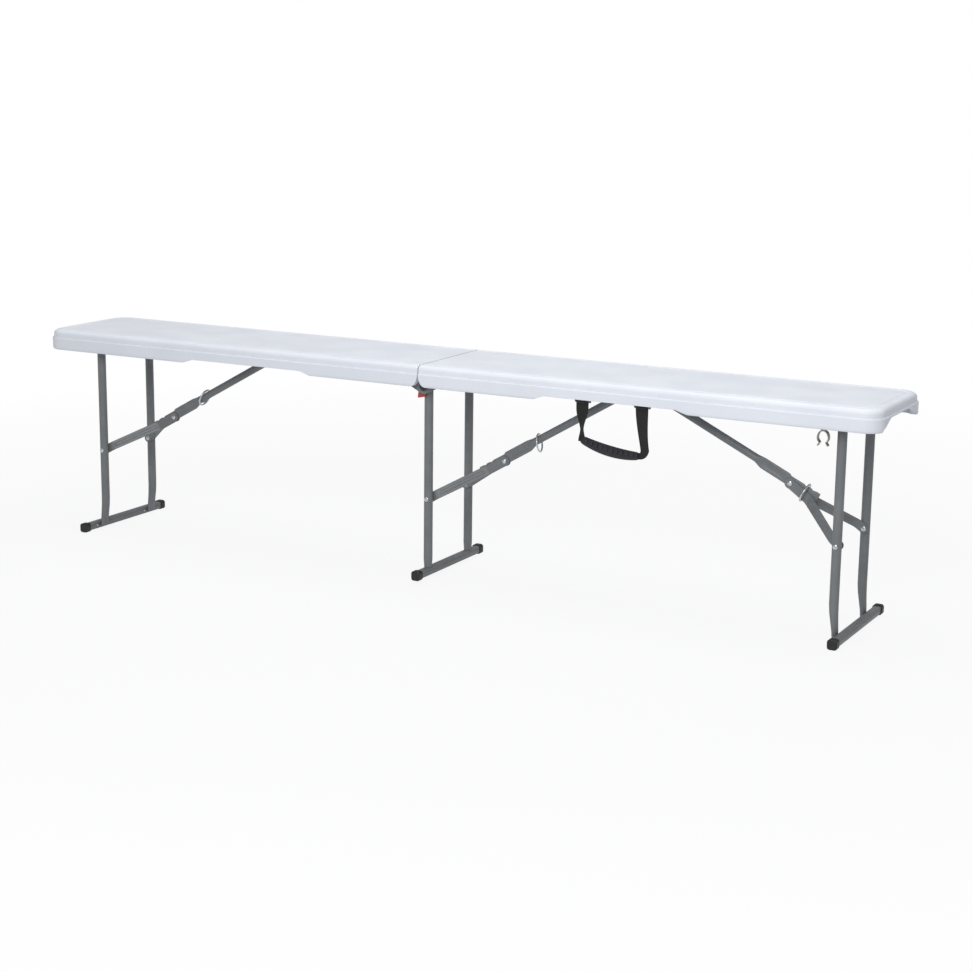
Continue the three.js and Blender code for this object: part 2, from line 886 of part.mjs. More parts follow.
function footBar(leg) {
  const end = leg.footHalf - capEndThickness - clearance;
  return plateXZ(barSection(), -end, end);
}

function squareSection(size, radius) {
  const half = size / 2;
  return outline([
    [half, -half, radius],
    [half, half, radius],
    [-half, half, radius],
    [-half, -half, radius],
  ]);
}

// A moulded cap with a socket for the bar's end. Drawn for the rear end.
function footCap(leg) {
  const start = leg.footHalf - capLength;
  const rings = [
    [start, 0],
    [leg.footHalf - capRounding, 0],
    [leg.footHalf, capRounding],
  ].map(([y, inset]) => {
    const corners = squareSection(capSize - 2 * inset, capRadius - inset / 2).getPoints();
    return corners.reverse().map((corner) => new THREE.Vector3(corner.x, y, corner.y));
  });
  const socket = squareSection(footBarSize + 2 * clearance, footBarRadius);
  return cut(loft(rings), plateXZ(socket, start - overrun, leg.footHalf - capEndThickness));
}

// Rivets, along Y. The profile of a domed head that stands on a seat at y.
function domedHead(seat) {
  return [
    [rivetRadius, seat],
    [rivetHeadRadius, seat],
    [rivetHeadRadius, seat + rivetHeadRise * headEdgeShare],
    [rivetHeadRadius * crownRadiusShare, seat + rivetHeadRise * crownRiseShare],
    [0, seat + rivetHeadRise],
  ];
}

function rivet(seat, shankEnd) {
  return turned([[0, shankEnd], [rivetRadius, shankEnd], ...domedHead(seat)], smallSides);
}

// The elbow's rivet, with a head outside each arm.
function elbowRivet() {
  const head = domedHead(bladeThickness / 2 + armGauge + 2 * clearance);
  return turned([...head.map(([radius, y]) => [radius, -y]).reverse(), ...head], smallSides);
}

// Braces

// A tube pressed flat below the elbow and at its top eye, drawn along +X up to the top pivot at 0.
// Each station is [x, half height, half thickness, shift up].
function braceStations() {
  const round = braceRadius;
  const elbow = -braceAxis;
  const half = bladeHeight / 2;
  const low = half - tailStep / 2;
  const thin = bladeThickness / 2;
  return [
    [elbow - tailLength, low, thin, -bladeShift - tailStep / 2],
    [elbow + tailStepStart, low, thin, -bladeShift - tailStep / 2],
    [elbow + tailStepStart + tailStep, half, thin, -bladeShift],
    [elbow + bladeEnd, half, thin, -bladeShift],
    [elbow + bladeEnd + bladeTaper / 2, (half + round) / 2, (thin + round) / 2, -bladeShift / 2],
    [elbow + bladeEnd + bladeTaper, round, round, 0],
    [-eyeTaper - eyeFlat, round, round, 0],
    [-eyeFlat, eyeRadius, eyeThickness / 2, 0],
    [0, eyeRadius, eyeThickness / 2, 0],
  ];
}

function braceRings(stations, wall, sides) {
  return stations.map(([x, halfZ, halfY, shift]) => {
    const centre = new THREE.Vector3(x, 0, shift);
    const inset = halfY > bladeThickness ? wall : halfY - bladeSlot / 2;
    const used = wall ? inset : 0;
    const squareness = halfZ > halfY ? bladeSquareness : 1;
    return oval(centre, axisY, axisZ, halfY - used, halfZ - Math.max(used, wall), sides, squareness);
  });
}

function brace() {
  const stations = braceStations();
  const elbow = -braceAxis;
  const outside = loft(braceRings(stations, 0, tubeSides));
  const inside = braceRings(stations.slice(0, -2), braceWall, webSides);
  const mouth = inside[0].map((point) => point.clone().add(new THREE.Vector3(-overrun, 0, 0)));
  const hollow = loft([mouth, ...inside.slice(1)]);
  const eye = rod(eyeRadius, -eyeThickness / 2, eyeThickness / 2);
  const half = beadHeight / 2;
  const round = half * beadEndShare;
  const bead = outline([
    [elbow + beadStart, -bladeShift - half, round],
    [elbow + beadEnd, -bladeShift - half, round],
    [elbow + beadEnd, half - bladeShift, round],
    [elbow + beadStart, half - bladeShift, round],
  ]);
  const floor = bladeThickness / 2 - beadDepth;
  const pressed = [-floor - bladeThickness, floor].map((y) => plateXZ(bead, y, y + bladeThickness));
  const elbowHole = rod(rivetRadius + clearance, -bladeHeight, bladeHeight, smallSides);
  const pinHole = rod(pinRadius + clearance, -bladeHeight, bladeHeight, smallSides);
  return cut(join(outside, eye), hollow, ...pressed, elbowHole.translate(elbow, 0, -braceOffset), pinHole);
}

// A pressed steel arm of the yoke, from the elbow at 0 down to the tube's pivot. Drawn for the rear side.
function yokeArm() {
  const near = bladeThickness / 2 + clearance + armGauge / 2;
  const far = tubeSpread - tubeRadius - clearance - armGauge / 2;
  const line = [
    new THREE.Vector2(armEarRadius, near),
    new THREE.Vector2(-armParallel, near),
    new THREE.Vector2(-armSpreadEnd, far),
    new THREE.Vector2(-yokeReach - armEndRadius, far),
  ];
  const band = plateXY(strip(line, armGauge), -armEarRadius, armEarRadius);
  const body = [
    [-yokeReach, -armEndRadius],
    [-armSpreadEnd, -armEndRadius],
    [-armParallel, -armHalfHeight],
    [0, -armHalfHeight],
    [0, armHalfHeight],
    [-armParallel, armHalfHeight],
    [-armSpreadEnd, armEndRadius],
    [-yokeReach, armEndRadius],
  ];
  const across = far + armGauge;
  const side = join(
    plateXZ(outline(body), 0, across),
    rod(armEarRadius, 0, across),
    rod(armEndRadius, 0, across).translate(-yokeReach, 0, 0),
  );
  const beadLine = [armParallel + armBeadInset, armSpreadEnd - armBeadMargin].map((along) => {
    const y = THREE.MathUtils.mapLinear(along, armParallel, armSpreadEnd, near, far);
    return new THREE.Vector2(-along, y + armBeadRise);
  });
  const bead = plateXY(strip(beadLine, armGauge), -armBeadHeight / 2, armBeadHeight / 2);
  const hole = rod(rivetRadius + clearance, -overrun, across + overrun, smallSides);
  return cut(join(common(band, side), bead), hole, hole.clone().translate(-yokeReach, 0, 0));
}

// A ring of round wire whose axis lies along X, tipped in the X-Z plane.
function wireRing(tip) {
  return new THREE.TorusGeometry(ringRadius, ringWire, wireSides, ringSteps).rotateY(quarterTurn + tip);
}

// The bracket under the panel, from its first pin: a plate, two ears and a pin for each brace in it.
function braceBracket(pinXs) {
  const top = channelCeiling - clearance - bracePivotZ;
  const bottom = top - bracketGauge;
  const last = pinXs[pinXs.length - 1];
  const farX = last + bracketHalfLength;
  const plate = block(-bracketHalfLength, farX, -bracketHalfWidth, bracketHalfWidth, bottom, top);
  const near = eyeThickness / 2 + clearance;
  const side = [
    [-bracketEarHalf, top - bracketGauge / 2],
    [-bracketEarRadius, -bracketEarRadius, bracketEarRadius * beadEndShare],
    [last + bracketEarRadius, -bracketEarRadius, bracketEarRadius * beadEndShare],
    [last + bracketEarHalf, top - bracketGauge / 2],
  ];
  const ears = [-near - bracketGauge, near].map((y) => plateXZ(outline(side), y, y + bracketGauge));
  const pinEnd = near + bracketGauge + bracketGauge / 2;
  const pins = pinXs.map((x) => rod(pinRadius, -pinEnd, pinEnd, smallSides).translate(x, 0, 0));
  const screws = [];
  for (const x of [-bracketScrewX, last + bracketScrewX]) {
    for (const y of [-bracketScrewY, bracketScrewY]) {
      const head = rod(screwRadius, 0, screwHeight + bracketGauge / 2, screwSides).rotateX(quarterTurn);
      screws.push(head.translate(x, y, bottom - screwHeight));
    }
  }
  return join(plate, ...ears, ...pins, ...screws);
}

// One bracket carries the left brace; the centre and right braces meet at another.
function placeBrackets(topXs) {
  place(pivot(bench, topXs.left, bracePivotZ, 0), "bracket_left", braceBracket([0]), "zinc");
  const right = braceBracket([0, topXs.right - topXs.center]);
  place(pivot(bench, topXs.center, bracePivotZ, 0), "bracket_right", right, "zinc");
}

// The rear piece as drawn and the front piece mirrored, each named for the side that it ends up on.
function placePair(parent, leg, prefix, suffix, shape, finish) {
  for (const side of [-1, 1]) {
    const where = side * leg.turn < 0 ? "front" : "rear";
    place(parent, prefix + leg.name + suffix + where, mirrored(shape, 1, side), finish);
  }
}

function placeLeg(leg) {
  const { hang, yokeRise, braceRise, elbow, top } = linkage(leg.z, leg.bend, braceReach);
  const whole = new THREE.Group();
  whole.position.set(leg.x, 0, leg.z);
  whole.rotation.z = leg.turn < 0 ? Math.PI : 0;
  bench.add(whole);

  const crossTube = leg.kicks ? trunnionTube(leg.railInner) : sleeveTube(leg.railInner);
  place(whole, "leg_" + leg.name + "_crosstube", crossTube, "steel");
  const tube = geometryOf(legTube(leg, hang)).clone().translate(0, tubeSpread, 0);
  placePair(whole, leg, "leg_", "_tube_", tube, "steel");
  const foot = pivot(whole, footCentreX(leg), footCentreZ(leg), 0);
  place(foot, "leg_" + leg.name + "_foot_bar", footBar(leg), "steel");
  placePair(foot, leg, "leg_", "_cap_", footCap(leg), "rubber");
  const outerSeat = tubeSpread + tubeRadius + clearance;
  const outer = rivet(outerSeat, tubeSpread - tubeRadius + clearance).translate(0, 0, -hang);
  placePair(whole, leg, "rivet_", "_tube_", outer, "zinc");

  const bracePivot = pivot(whole, top.x, top.y, braceRise);
  place(bracePivot, "brace_" + leg.name, brace(), "steel");

  const yokePivot = pivot(whole, elbow.x, elbow.y, yokeRise);
  placePair(yokePivot, leg, "arm_", "_", yokeArm(), "steel");
  place(yokePivot, "rivet_" + leg.name + "_elbow", elbowRivet(), "zinc");
  const armInner = tubeSpread - tubeRadius - 2 * clearance - armGauge;
  const inner = mirrored(rivet(-armInner, -armInner - clearance - armGauge), 1, -1);
  placePair(yokePivot, leg, "rivet_", "_arm_", geometryOf(inner).clone().translate(-yokeReach, 0, 0), "zinc");

  placeRing(bracePivot, leg, braceRise);
  return [leg.name, leg.x + leg.turn * top.x];
}

// A loose ring hangs on the round tube by its inner edge; the engaged one is over the tail and the yoke.
// The left ring lies square to its brace and the centre one hangs plumb.
function placeRing(bracePivot, leg, braceRise) {
  const engaged = leg.bend > 0;
  const along = engaged ? -engagedRingRest : ringRest;
  const plumb = leg.kicks ? 0 : braceRise;
  const hang = ringRadius - (braceRadius + ringWire + clearance) / Math.cos(plumb);
  const drop = engaged ? engagedRingDrop : hang;
  const ring = place(bracePivot, "ring_" + leg.name, wireRing(plumb), "zinc");
  ring.position.set(along - braceAxis - drop * Math.sin(plumb), 0, -drop * Math.cos(plumb));
}

placeBrackets(Object.fromEntries(legs.map(placeLeg)));

// Leg clip

// A sprung band like an omega, open downwards, on a post from the panel.
function legClip() {
  const centreZ = 2 * foldZ - endPivotZ;
  const middle = clipInner + clipGauge / 2;
  const waistAngle = Math.asin((clipWaist + clipGauge / 2) / middle);
  const loop = arc(0, 0, middle, -quarterTurn + waistAngle, 3 * quarterTurn - waistAngle, tubeSides);
  const line = [
    new THREE.Vector2(clipFootSpread, -clipFootDrop),
    ...loop,
    new THREE.Vector2(-clipFootSpread, -clipFootDrop),
  ];
  const band = plateXZ(strip(line, clipGauge), -clipFar, -clipNear);
  const postTop = railTop - centreZ;
  const post = block(-clipPostHalf, clipPostHalf, -clipFar, -clipNear, middle, postTop);
  const plate = block(-clipPlateHalf, clipPlateHalf, -clipFar, -clipNear, postTop - clipGauge, postTop);
  return geometryOf(join(band, post, plate)).clone().translate(leftPivotX, 0, centreZ);
}

place(bench, "leg_clip", legClip(), "spring");

// Latch: a collar round the centre leg's cross tube with a tab that hangs below the seat.
function latch() {
  const bore = tubeRadius + clearance;
  const outer = bore + latchWall;
  const far = latchNear + latchWidth;
  const tab = outline([
    [-outer, 0],
    [-latchTabLeft, -latchTabDrop, latchWall / 2],
    [latchTabRight, latchWall - latchTabDrop, latchWall / 2],
    [latchTabRight, -outer],
    [0, 0],
  ]);
  const hole = rod(bore, -far - overrun, -latchNear + overrun);
  return cut(join(rod(outer, -far, -latchNear), plateXZ(tab, -far, -latchNear)), hole);
}

const latchFrame = pivot(bench, 0, foldZ, 0);
place(latchFrame, "latch", latch(), "red");

// Carry handle, drawn from its hinge line at the strap pins

const handleFrame = new THREE.Group();
handleFrame.position.set(0, handleY, handleZ);
bench.add(handleFrame);

const gripLeft = new THREE.Vector3(gripLeftX, 0, handleDrop - gripLeftDrop);
const gripRight = new THREE.Vector3(gripRightX, 0, handleDrop - gripRightDrop);

// The grip's centre line: a straight line between its ends, bowed down in the middle.
function gripPoint(t) {
  const point = gripLeft.clone().lerp(gripRight, t);
  point.z -= 4 * gripBow * t * (1 - t);
  return point;
}

// A ribbed rubber sleeve, thickest in the middle.
function grip() {
  const rings = [];
  const count = 2 * gripRibs;
  for (let k = 0; k <= count; k += 1) {
    const t = k / count;
    const here = gripPoint(t);
    const along = gripPoint(t + 1 / count).sub(gripPoint(t - 1 / count)).normalize();
    const up = new THREE.Vector3().crossVectors(along, axisY);
    const groove = k % 2 && k > 1 && k < count - 1 ? gripRibDepth : 0;
    const half = gripEndHalf + gripBelly * 4 * t * (1 - t) - groove;
    rings.push(oval(here, axisY, up, half, half, gripSides));
  }
  return loft(rings);
}

// A flat web from station to station: [place, way along the width, half width, half thickness].
function webbing(stations) {
  return loft(stations.map(({ at, wide, halfWidth: w, halfThickness: h, normal }) => {
    return oval(at, wide, normal, w, h, webSides, webSquareness);
  }));
}

// The loop at the strap's top, round the anchor's pin.
function strapEye(x) {
  const half = webbingWidth / 2;
  const collar = rod(strapEyeRadius, x - half, x + half, smallSides).rotateZ(-quarterTurn);
  const bore = rod(strapEyeBore, x - half - overrun, x + half + overrun, smallSides).rotateZ(-quarterTurn);
  return { collar, bore };
}

function twistStation(at, angle, halfAcross, halfThick, lean) {
  const wide = new THREE.Vector3(Math.cos(angle), Math.sin(angle), 0).applyAxisAngle(axisY, lean);
  const normal = new THREE.Vector3(Math.sin(angle), -Math.cos(angle), 0).applyAxisAngle(axisY, lean);
  return { at, wide, halfWidth: halfAcross, halfThickness: halfThick, normal };
}

// The left strap turns edge-on as it comes down to the grip.
function leftStrap() {
  const end = gripPoint(0);
  const fullTwist = THREE.MathUtils.degToRad(leftStrapTwist);
  const stations = [];
  for (let k = 0; k <= twistSteps; k += 1) {
    const t = k / twistSteps;
    const z = (end.z + gripEndHalf + 2 * clearance) * t - strapEyeBore - (webbingThickness * (1 - t)) / 2;
    const x = leftStrapX + (end.x - leftStrapX) * t;
    const angle = fullTwist * THREE.MathUtils.smoothstep(t, 0, twistEndShare);
    const gather = leftGatherShare * THREE.MathUtils.smoothstep(t, gatherStartShare, 1);
    const half = (webbingWidth / 2) * (1 - gather);
    stations.push(twistStation(new THREE.Vector3(x, 0, z), angle, half, webbingThickness / 2, 0));
  }
  const { collar, bore } = strapEye(leftStrapX);
  return cut(join(webbing(stations), collar), bore);
}

// The right strap stays flat, narrows and curls into the grip's end.
function rightStrap() {
  const end = gripPoint(1);
  const turnX = rightStrapX + webbingWidth * strapLeanShare;
  const turnZ = end.z + webbingWidth * curlShare;
  const stations = [];
  for (let k = 0; k <= twistSteps; k += 1) {
    const t = k / twistSteps;
    const at = new THREE.Vector3(rightStrapX + (turnX - rightStrapX) * t * t, 0, 0);
    at.z = (turnZ + strapEyeBore) * t - strapEyeBore - (webbingThickness * (1 - t)) / 2;
    const half = (webbingWidth / 2) * (1 - rightGatherShare * ease(t));
    stations.push(twistStation(at, 0, half, webbingThickness / 2, 0));
  }
  const last = stations[stations.length - 1];
  const goal = new THREE.Vector3(end.x + 2 * clearance, 0, end.z);
  for (let k = 1; k <= curlSteps; k += 1) {
    const t = k / curlSteps;
    const at = last.at.clone().lerp(goal, t);
    at.x += Math.sin(Math.PI * t) * webbingThickness;
    at.z = last.at.z + (goal.z - last.at.z) * Math.sin(quarterTurn * t);
    const half = last.halfWidth + (gripEndHalf * curlWidthShare - last.halfWidth) * t;
    const thick = (webbingThickness / 2) * (1 + t);
    stations.push(twistStation(at, 0, half, thick, quarterTurn * t));
  }
  const { collar, bore } = strapEye(rightStrapX);
  return cut(join(webbing(stations), collar), bore);
}

place(handleFrame, "strap_left", leftStrap(), "webbing");
place(handleFrame, "strap_right", rightStrap(), "webbing");
place(handleFrame, "grip", grip(), "grip");

export default bench;
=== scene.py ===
"""A folding bench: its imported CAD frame, dressed with finer pieces and finishes.

Everything is in metres in the frame of the CAD model: +X along the seat towards the half that carries the
handle, -Y to the front, +Z up, with the origin on the floor below the middle of the seat.
"""

import json
import math

import bpy
import numpy as np
from mathutils import Matrix, Vector

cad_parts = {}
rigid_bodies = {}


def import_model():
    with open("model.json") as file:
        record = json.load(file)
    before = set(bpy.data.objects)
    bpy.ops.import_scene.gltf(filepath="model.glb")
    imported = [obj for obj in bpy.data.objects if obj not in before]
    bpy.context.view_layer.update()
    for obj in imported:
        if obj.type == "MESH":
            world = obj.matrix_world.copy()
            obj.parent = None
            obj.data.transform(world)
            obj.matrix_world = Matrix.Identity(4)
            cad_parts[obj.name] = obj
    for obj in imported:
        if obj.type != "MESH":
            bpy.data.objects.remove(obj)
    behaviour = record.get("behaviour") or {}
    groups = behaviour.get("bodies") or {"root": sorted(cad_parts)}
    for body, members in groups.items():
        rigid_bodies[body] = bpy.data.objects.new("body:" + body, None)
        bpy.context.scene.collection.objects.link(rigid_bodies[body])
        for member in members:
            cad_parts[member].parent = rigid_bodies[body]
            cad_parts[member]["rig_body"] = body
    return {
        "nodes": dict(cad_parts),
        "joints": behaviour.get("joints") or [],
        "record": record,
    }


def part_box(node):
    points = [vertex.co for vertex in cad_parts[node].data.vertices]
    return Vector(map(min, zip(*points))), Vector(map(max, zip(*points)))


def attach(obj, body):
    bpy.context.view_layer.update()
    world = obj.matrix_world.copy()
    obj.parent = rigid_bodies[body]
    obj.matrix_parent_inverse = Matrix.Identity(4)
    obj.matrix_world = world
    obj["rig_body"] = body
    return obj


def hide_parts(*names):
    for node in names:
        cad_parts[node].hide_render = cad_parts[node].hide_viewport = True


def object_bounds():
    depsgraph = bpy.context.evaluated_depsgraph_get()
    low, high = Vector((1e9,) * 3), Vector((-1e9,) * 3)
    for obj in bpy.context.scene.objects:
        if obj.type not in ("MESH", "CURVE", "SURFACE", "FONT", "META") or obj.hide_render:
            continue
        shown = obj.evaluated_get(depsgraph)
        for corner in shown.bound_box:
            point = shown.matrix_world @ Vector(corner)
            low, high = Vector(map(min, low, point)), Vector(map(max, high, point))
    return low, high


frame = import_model()
cad_low, cad_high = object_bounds()
joints = {joint["name"]: joint for joint in frame["joints"]}

MERGE_STEP = 0.000001

# Seat halves: the CAD model's sizes, with the skirt, ledge, groove, fold corner and hand-hold as in the photograph
HALF_LENGTH = cad_high.x
HALF_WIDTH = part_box("top_right")[1].y
SEAT_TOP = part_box("top_right")[1].z
SEAT_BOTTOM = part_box("top_right")[0].z
FOLD_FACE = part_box("top_right")[0].x
CORNER_RADIUS = 0.034
PANEL_RADIUS = 0.024
PANEL_THICKNESS = 0.015
SKIRT_WALL = 0.013
END_WALL = 0.014
SKIRT_TUCK = 0.0026
SKIRT_EDGE = 0.0065
LEDGE_DROP = 0.0165
LEDGE_ROUND = 0.0018
LEDGE_FILLET = 0.0008
RIM_INSET = LEDGE_ROUND + LEDGE_FILLET
NOSE_RADIUS = 0.010
GROOVE_INSET = 0.0205
GROOVE_WIDTH = 0.0056
GROOVE_DEPTH = 0.0016
PANEL_MARGIN = 0.0006
LIP_THICKNESS = 0.008
LIP_DEPTH = 0.026
FOLD_CORNER_X = 0.0165
FOLD_CORNER_Z = 0.024
RECESS_RADIUS = 0.018
SHALLOW_RISE = 0.008
SHALLOW_START = 0.271
SHALLOW_END = 0.535
SHALLOW_SLOPE = 0.024
SHALLOW_ROUND = 0.012
HANDHOLD_HALF = 0.066
HANDHOLD_FOOT = 0.102
HANDHOLD_RISE = 0.022
HANDHOLD_LIFT = 0.006
HANDHOLD_ROUND = 0.010
CHANNEL_HALF = 0.022
CHANNEL_START = 0.016
CHANNEL_END = 0.800
CHANNEL_PANEL = 0.0075
CLIP_POCKET_HALF = 0.012
CLIP_POCKET_DEPTH = 0.005
CLIP_POCKET_GAP = 0.0003
OVERRUN = 0.002

# Webbing and grip
WEB_WIDTH = 0.0254
WEB_THICKNESS = 0.0024

# Camera, found from the seat's corners and the legs' feet in the photograph
CAMERA_PLACE = Vector((1.8981, -3.3816, 1.0346))
CAMERA_YAW = math.radians(-28.206)
CAMERA_PITCH = math.radians(-12.532)
CAMERA_ROLL = math.radians(0.703)
FOCAL_PIXELS = 1987.2
PHOTO_PIXELS = 972
SENSOR_MM = 36.0
CAMERA_CLIP = (0.05, 60.0)

# Light: the surround's strength on the bench, and each lamp's place, target, size and watts
FILL_STRENGTH = 0.42
LAMPS = {
    "key": ((0.9, -2.5, 1.8), (0.0, 0, 0.3), 1.3, 43.0),
    "overhead": ((0.1, 0.4, 3.4), (0, 0, 0.4), 2.4, 48.0),
}

# Floor: half its side, the share of plain white below the bench, and where the rise to 1 starts and ends
FLOOR_HALF = 12.0
FLOOR_WHITE = 0.90
FLOOR_CLEAR = (1.1, 2.4)

LEGS = ("left", "center", "right")


# Meshes


def mesh_object(name, vertices, faces, material, smooth_angle=40.0):
    """A new object at the origin, shaded smooth across edges that bend less than an angle."""
    mesh = bpy.data.meshes.new(name)
    mesh.from_pydata(np.asarray(vertices, float).tolist(), [], [list(map(int, face)) for face in faces])
    mesh.validate()
    finish_mesh(mesh, smooth_angle)
    piece = bpy.data.objects.new(name, mesh)
    bpy.context.scene.collection.objects.link(piece)
    piece.data.materials.append(material)
    return piece


def finish_mesh(mesh, smooth_angle):
    """Smooth shading, kept sharp where two faces meet at more than the angle in degrees."""
    mesh.polygons.foreach_set("use_smooth", np.ones(len(mesh.polygons), bool))
    mesh.set_sharp_from_angle(angle=math.radians(smooth_angle))
    mesh.update()


def points_of(mesh):
    """A mesh's points, one to a row."""
    places = np.zeros(len(mesh.vertices) * 3, np.float32)
    mesh.vertices.foreach_get("co", places)
    return places.reshape(-1, 3)


def set_points(mesh, places):
    """Puts a mesh's points at new places."""
    mesh.vertices.foreach_set("co", places.astype(np.float32).ravel())
    mesh.update()


def triangles_of(mesh):
    """A mesh's triangles, each as three point numbers."""
    mesh.calc_loop_triangles()
    corners = np.zeros(len(mesh.loop_triangles) * 3, np.int32)
    mesh.loop_triangles.foreach_get("vertices", corners)
    return corners.reshape(-1, 3)


def grid_faces(rows, columns, wrap_rows=False, wrap_columns=False):
    """Quads of a grid of rows by columns points, numbered row by row; a wrapped direction closes on itself."""
    r = np.arange(rows if wrap_rows else rows - 1)
    c = np.arange(columns if wrap_columns else columns - 1)
    r, c = (axis.ravel() for axis in np.meshgrid(r, c, indexing="ij"))
    r_next, c_next = (r + 1) % rows, (c + 1) % columns
    here, ahead = r * columns, r_next * columns
    return np.stack([here + c, here + c_next, ahead + c_next, ahead + c], axis=1)


def squared_round(sides, power):
    """The cosines and sines of a ring of angles, each raised to a power with its sign kept."""
    t = 2 * np.pi * (np.arange(sides) + 0.5) / sides
    return tuple(np.sign(wave) * np.abs(wave) ** power for wave in (np.cos(t), np.sin(t)))


def tube_surface(points, across, up, half_across, half_up, sides, squareness=1.0):
    """Rings round a path: p + across * a cos(t) + up * b sin(t), with cos and sin raised to the squareness.

    points, across and up are rows of vectors, and the half sizes one value for each row or for each point."""
    c, s = squared_round(sides, squareness)
    half_across = np.broadcast_to(np.asarray(half_across, float).reshape(len(points), -1), (len(points), sides))
    half_up = np.broadcast_to(np.asarray(half_up, float).reshape(len(points), -1), (len(points), sides))
    ring = points[:, None, :] + across[:, None, :] * (half_across * c)[:, :, None]
    return ring + up[:, None, :] * (half_up * s)[:, :, None]


def closed_tube(name, rings, material, smooth_angle=50.0):
    """A tube of rings with a flat cap at each end, its faces turned outwards."""
    rows, sides = rings.shape[:2]
    faces = grid_faces(rows, sides, wrap_columns=True).tolist()
    faces.append(list(range(sides))[::-1])
    faces.append(list(range((rows - 1) * sides, rows * sides)))
    piece = mesh_object(name, rings.reshape(-1, 3), faces, material, smooth_angle)
    turn_out(piece)
    return piece


def turn_out(piece):
    """Turns a closed piece's faces outwards, where its volume, a sum of signed tetrahedra, is positive."""
    mesh = piece.data
    a, b, c = points_of(mesh)[triangles_of(mesh)].astype(float).transpose(1, 0, 2)
    if np.einsum("ij,ij->i", a, np.cross(b, c)).sum() < 0:
        mesh.flip_normals()


def merged_copy(node, material, smooth_angle=40.0):
    """A CAD node's mesh with its loose corners merged, so that it can be shaded smooth; it stands for the node."""
    source = frame["nodes"][node].data
    places = points_of(source)
    keys = np.round(places.astype(float) / MERGE_STEP).astype(np.int64)
    _, first, inverse = np.unique(keys, axis=0, return_index=True, return_inverse=True)
    faces = inverse.ravel()[triangles_of(source)]
    whole = (faces[:, 0] != faces[:, 1]) & (faces[:, 1] != faces[:, 2]) & (faces[:, 2] != faces[:, 0])
    piece = mesh_object(node + "_skin", places[first], faces[whole], material, smooth_angle)
    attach(piece, frame["nodes"][node]["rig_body"])
    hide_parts(node)
    return piece


def prism(outline, start, end, axis):
    """A closed prism: a flat outline carried along an axis. X takes points (y, z), Y (x, z) and Z (x, y)."""
    outline = np.asarray(outline, float)
    count = len(outline)
    flat = {"X": (1, 2, 0), "Y": (0, 2, 1), "Z": (0, 1, 2)}[axis]
    places = np.zeros((2, count, 3))
    places[:, :, flat[0]] = outline[:, 0]
    places[:, :, flat[1]] = outline[:, 1]
    places[0, :, flat[2]] = start
    places[1, :, flat[2]] = end
    faces = grid_faces(2, count, wrap_columns=True).tolist()
    faces += [list(range(count))[::-1], list(range(count, 2 * count))]
    return places.reshape(-1, 3), faces


def arc(centre, radius, start, end, steps):
    """Points at centre + radius (cos t, sin t) for t from start to end."""
    t = np.linspace(start, end, steps + 1)
    return np.stack([centre[0] + radius * np.cos(t), centre[1] + radius * np.sin(t)], axis=1)


def box_outline(low_u, high_u, low_v, high_v):
    """The four corners of a rectangle."""
    return [(low_u, low_v), (high_u, low_v), (high_u, high_v), (low_u, high_v)]


def rounded(corners, steps=6):
    """A closed outline through corners (x, y, radius), each corner replaced by a tangent arc."""
    points = []
    count = len(corners)
    for i, (x, y, radius) in enumerate(corners):
        here = np.array([x, y])
        if not radius:
            points.append(here[None])
            continue
        back = np.array(corners[i - 1][:2]) - here
        ahead = np.array(corners[(i + 1) % count][:2]) - here
        back, ahead = back / np.linalg.norm(back), ahead / np.linalg.norm(ahead)
        half = np.arccos(np.clip(back @ ahead, -1, 1)) / 2
        middle = (back + ahead) / np.linalg.norm(back + ahead)
        centre = here + middle * radius / np.sin(half)
        first = here + back * radius / np.tan(half) - centre
        last = here + ahead * radius / np.tan(half) - centre
        a0, a1 = np.arctan2(first[1], first[0]), np.arctan2(last[1], last[0])
        sweep = (a1 - a0 + np.pi) % (2 * np.pi) - np.pi
        points.append(arc(centre, radius, a0, a0 + sweep, steps))
    return np.concatenate(points)


# Shader nodes


def feed(tree, node, inputs):
    """Gives a node its inputs, each a value or a socket that is linked to it."""
    for key, value in inputs.items():
        if isinstance(value, bpy.types.NodeSocket):
            tree.links.new(value, node.inputs[key])
        else:
            node.inputs[key].default_value = value
    return node


def add(tree, kind, inputs=None, **settings):
    """A node with its settings and inputs."""
    node = tree.nodes.new("ShaderNode" + kind)
    for key, value in settings.items():
        setattr(node, key, value)
    return feed(tree, node, inputs or {})


def mixed(tree, factor, first, second):
    """The colour between two colours or sockets."""
    return add(tree, "Mix", {0: factor, 6: first, 7: second}, data_type="RGBA").outputs[2]


def ranged(tree, value, low, high, to_low, to_high):
    """A value carried from one range to another, held at the ends."""
    inputs = {"Value": value, "From Min": low, "From Max": high, "To Min": to_low, "To Max": to_high}
    return add(tree, "MapRange", inputs).outputs["Result"]


def effect(name, ins, outs):
    """A new node group with named sockets; returns its tree, its input node and its output node."""
    tree = bpy.data.node_groups.new(name, "ShaderNodeTree")
    for label, kind, value in ins:
        socket = tree.interface.new_socket(label, in_out="INPUT", socket_type="NodeSocket" + kind)
        if value is not None:
            socket.default_value = value
    for label, kind in outs:
        tree.interface.new_socket(label, in_out="OUTPUT", socket_type="NodeSocket" + kind)
    return tree, tree.nodes.new("NodeGroupInput"), tree.nodes.new("NodeGroupOutput")


def use(tree, group, inputs):
    """Places a node group in a material's tree."""
    node = tree.nodes.new("ShaderNodeGroup")
    node.node_tree = group
    return feed(tree, node, inputs)


def blank_material(name):
    """A new material with nothing in its node tree, and that tree."""
    material = bpy.data.materials.new(name)
    material.use_nodes = True
    material.node_tree.nodes.clear()
    return material, material.node_tree


def show(tree, shader):
    """Sends a shader's socket to the material's surface."""
    output = add(tree, "OutputMaterial")
    tree.links.new(shader, output.inputs["Surface"])


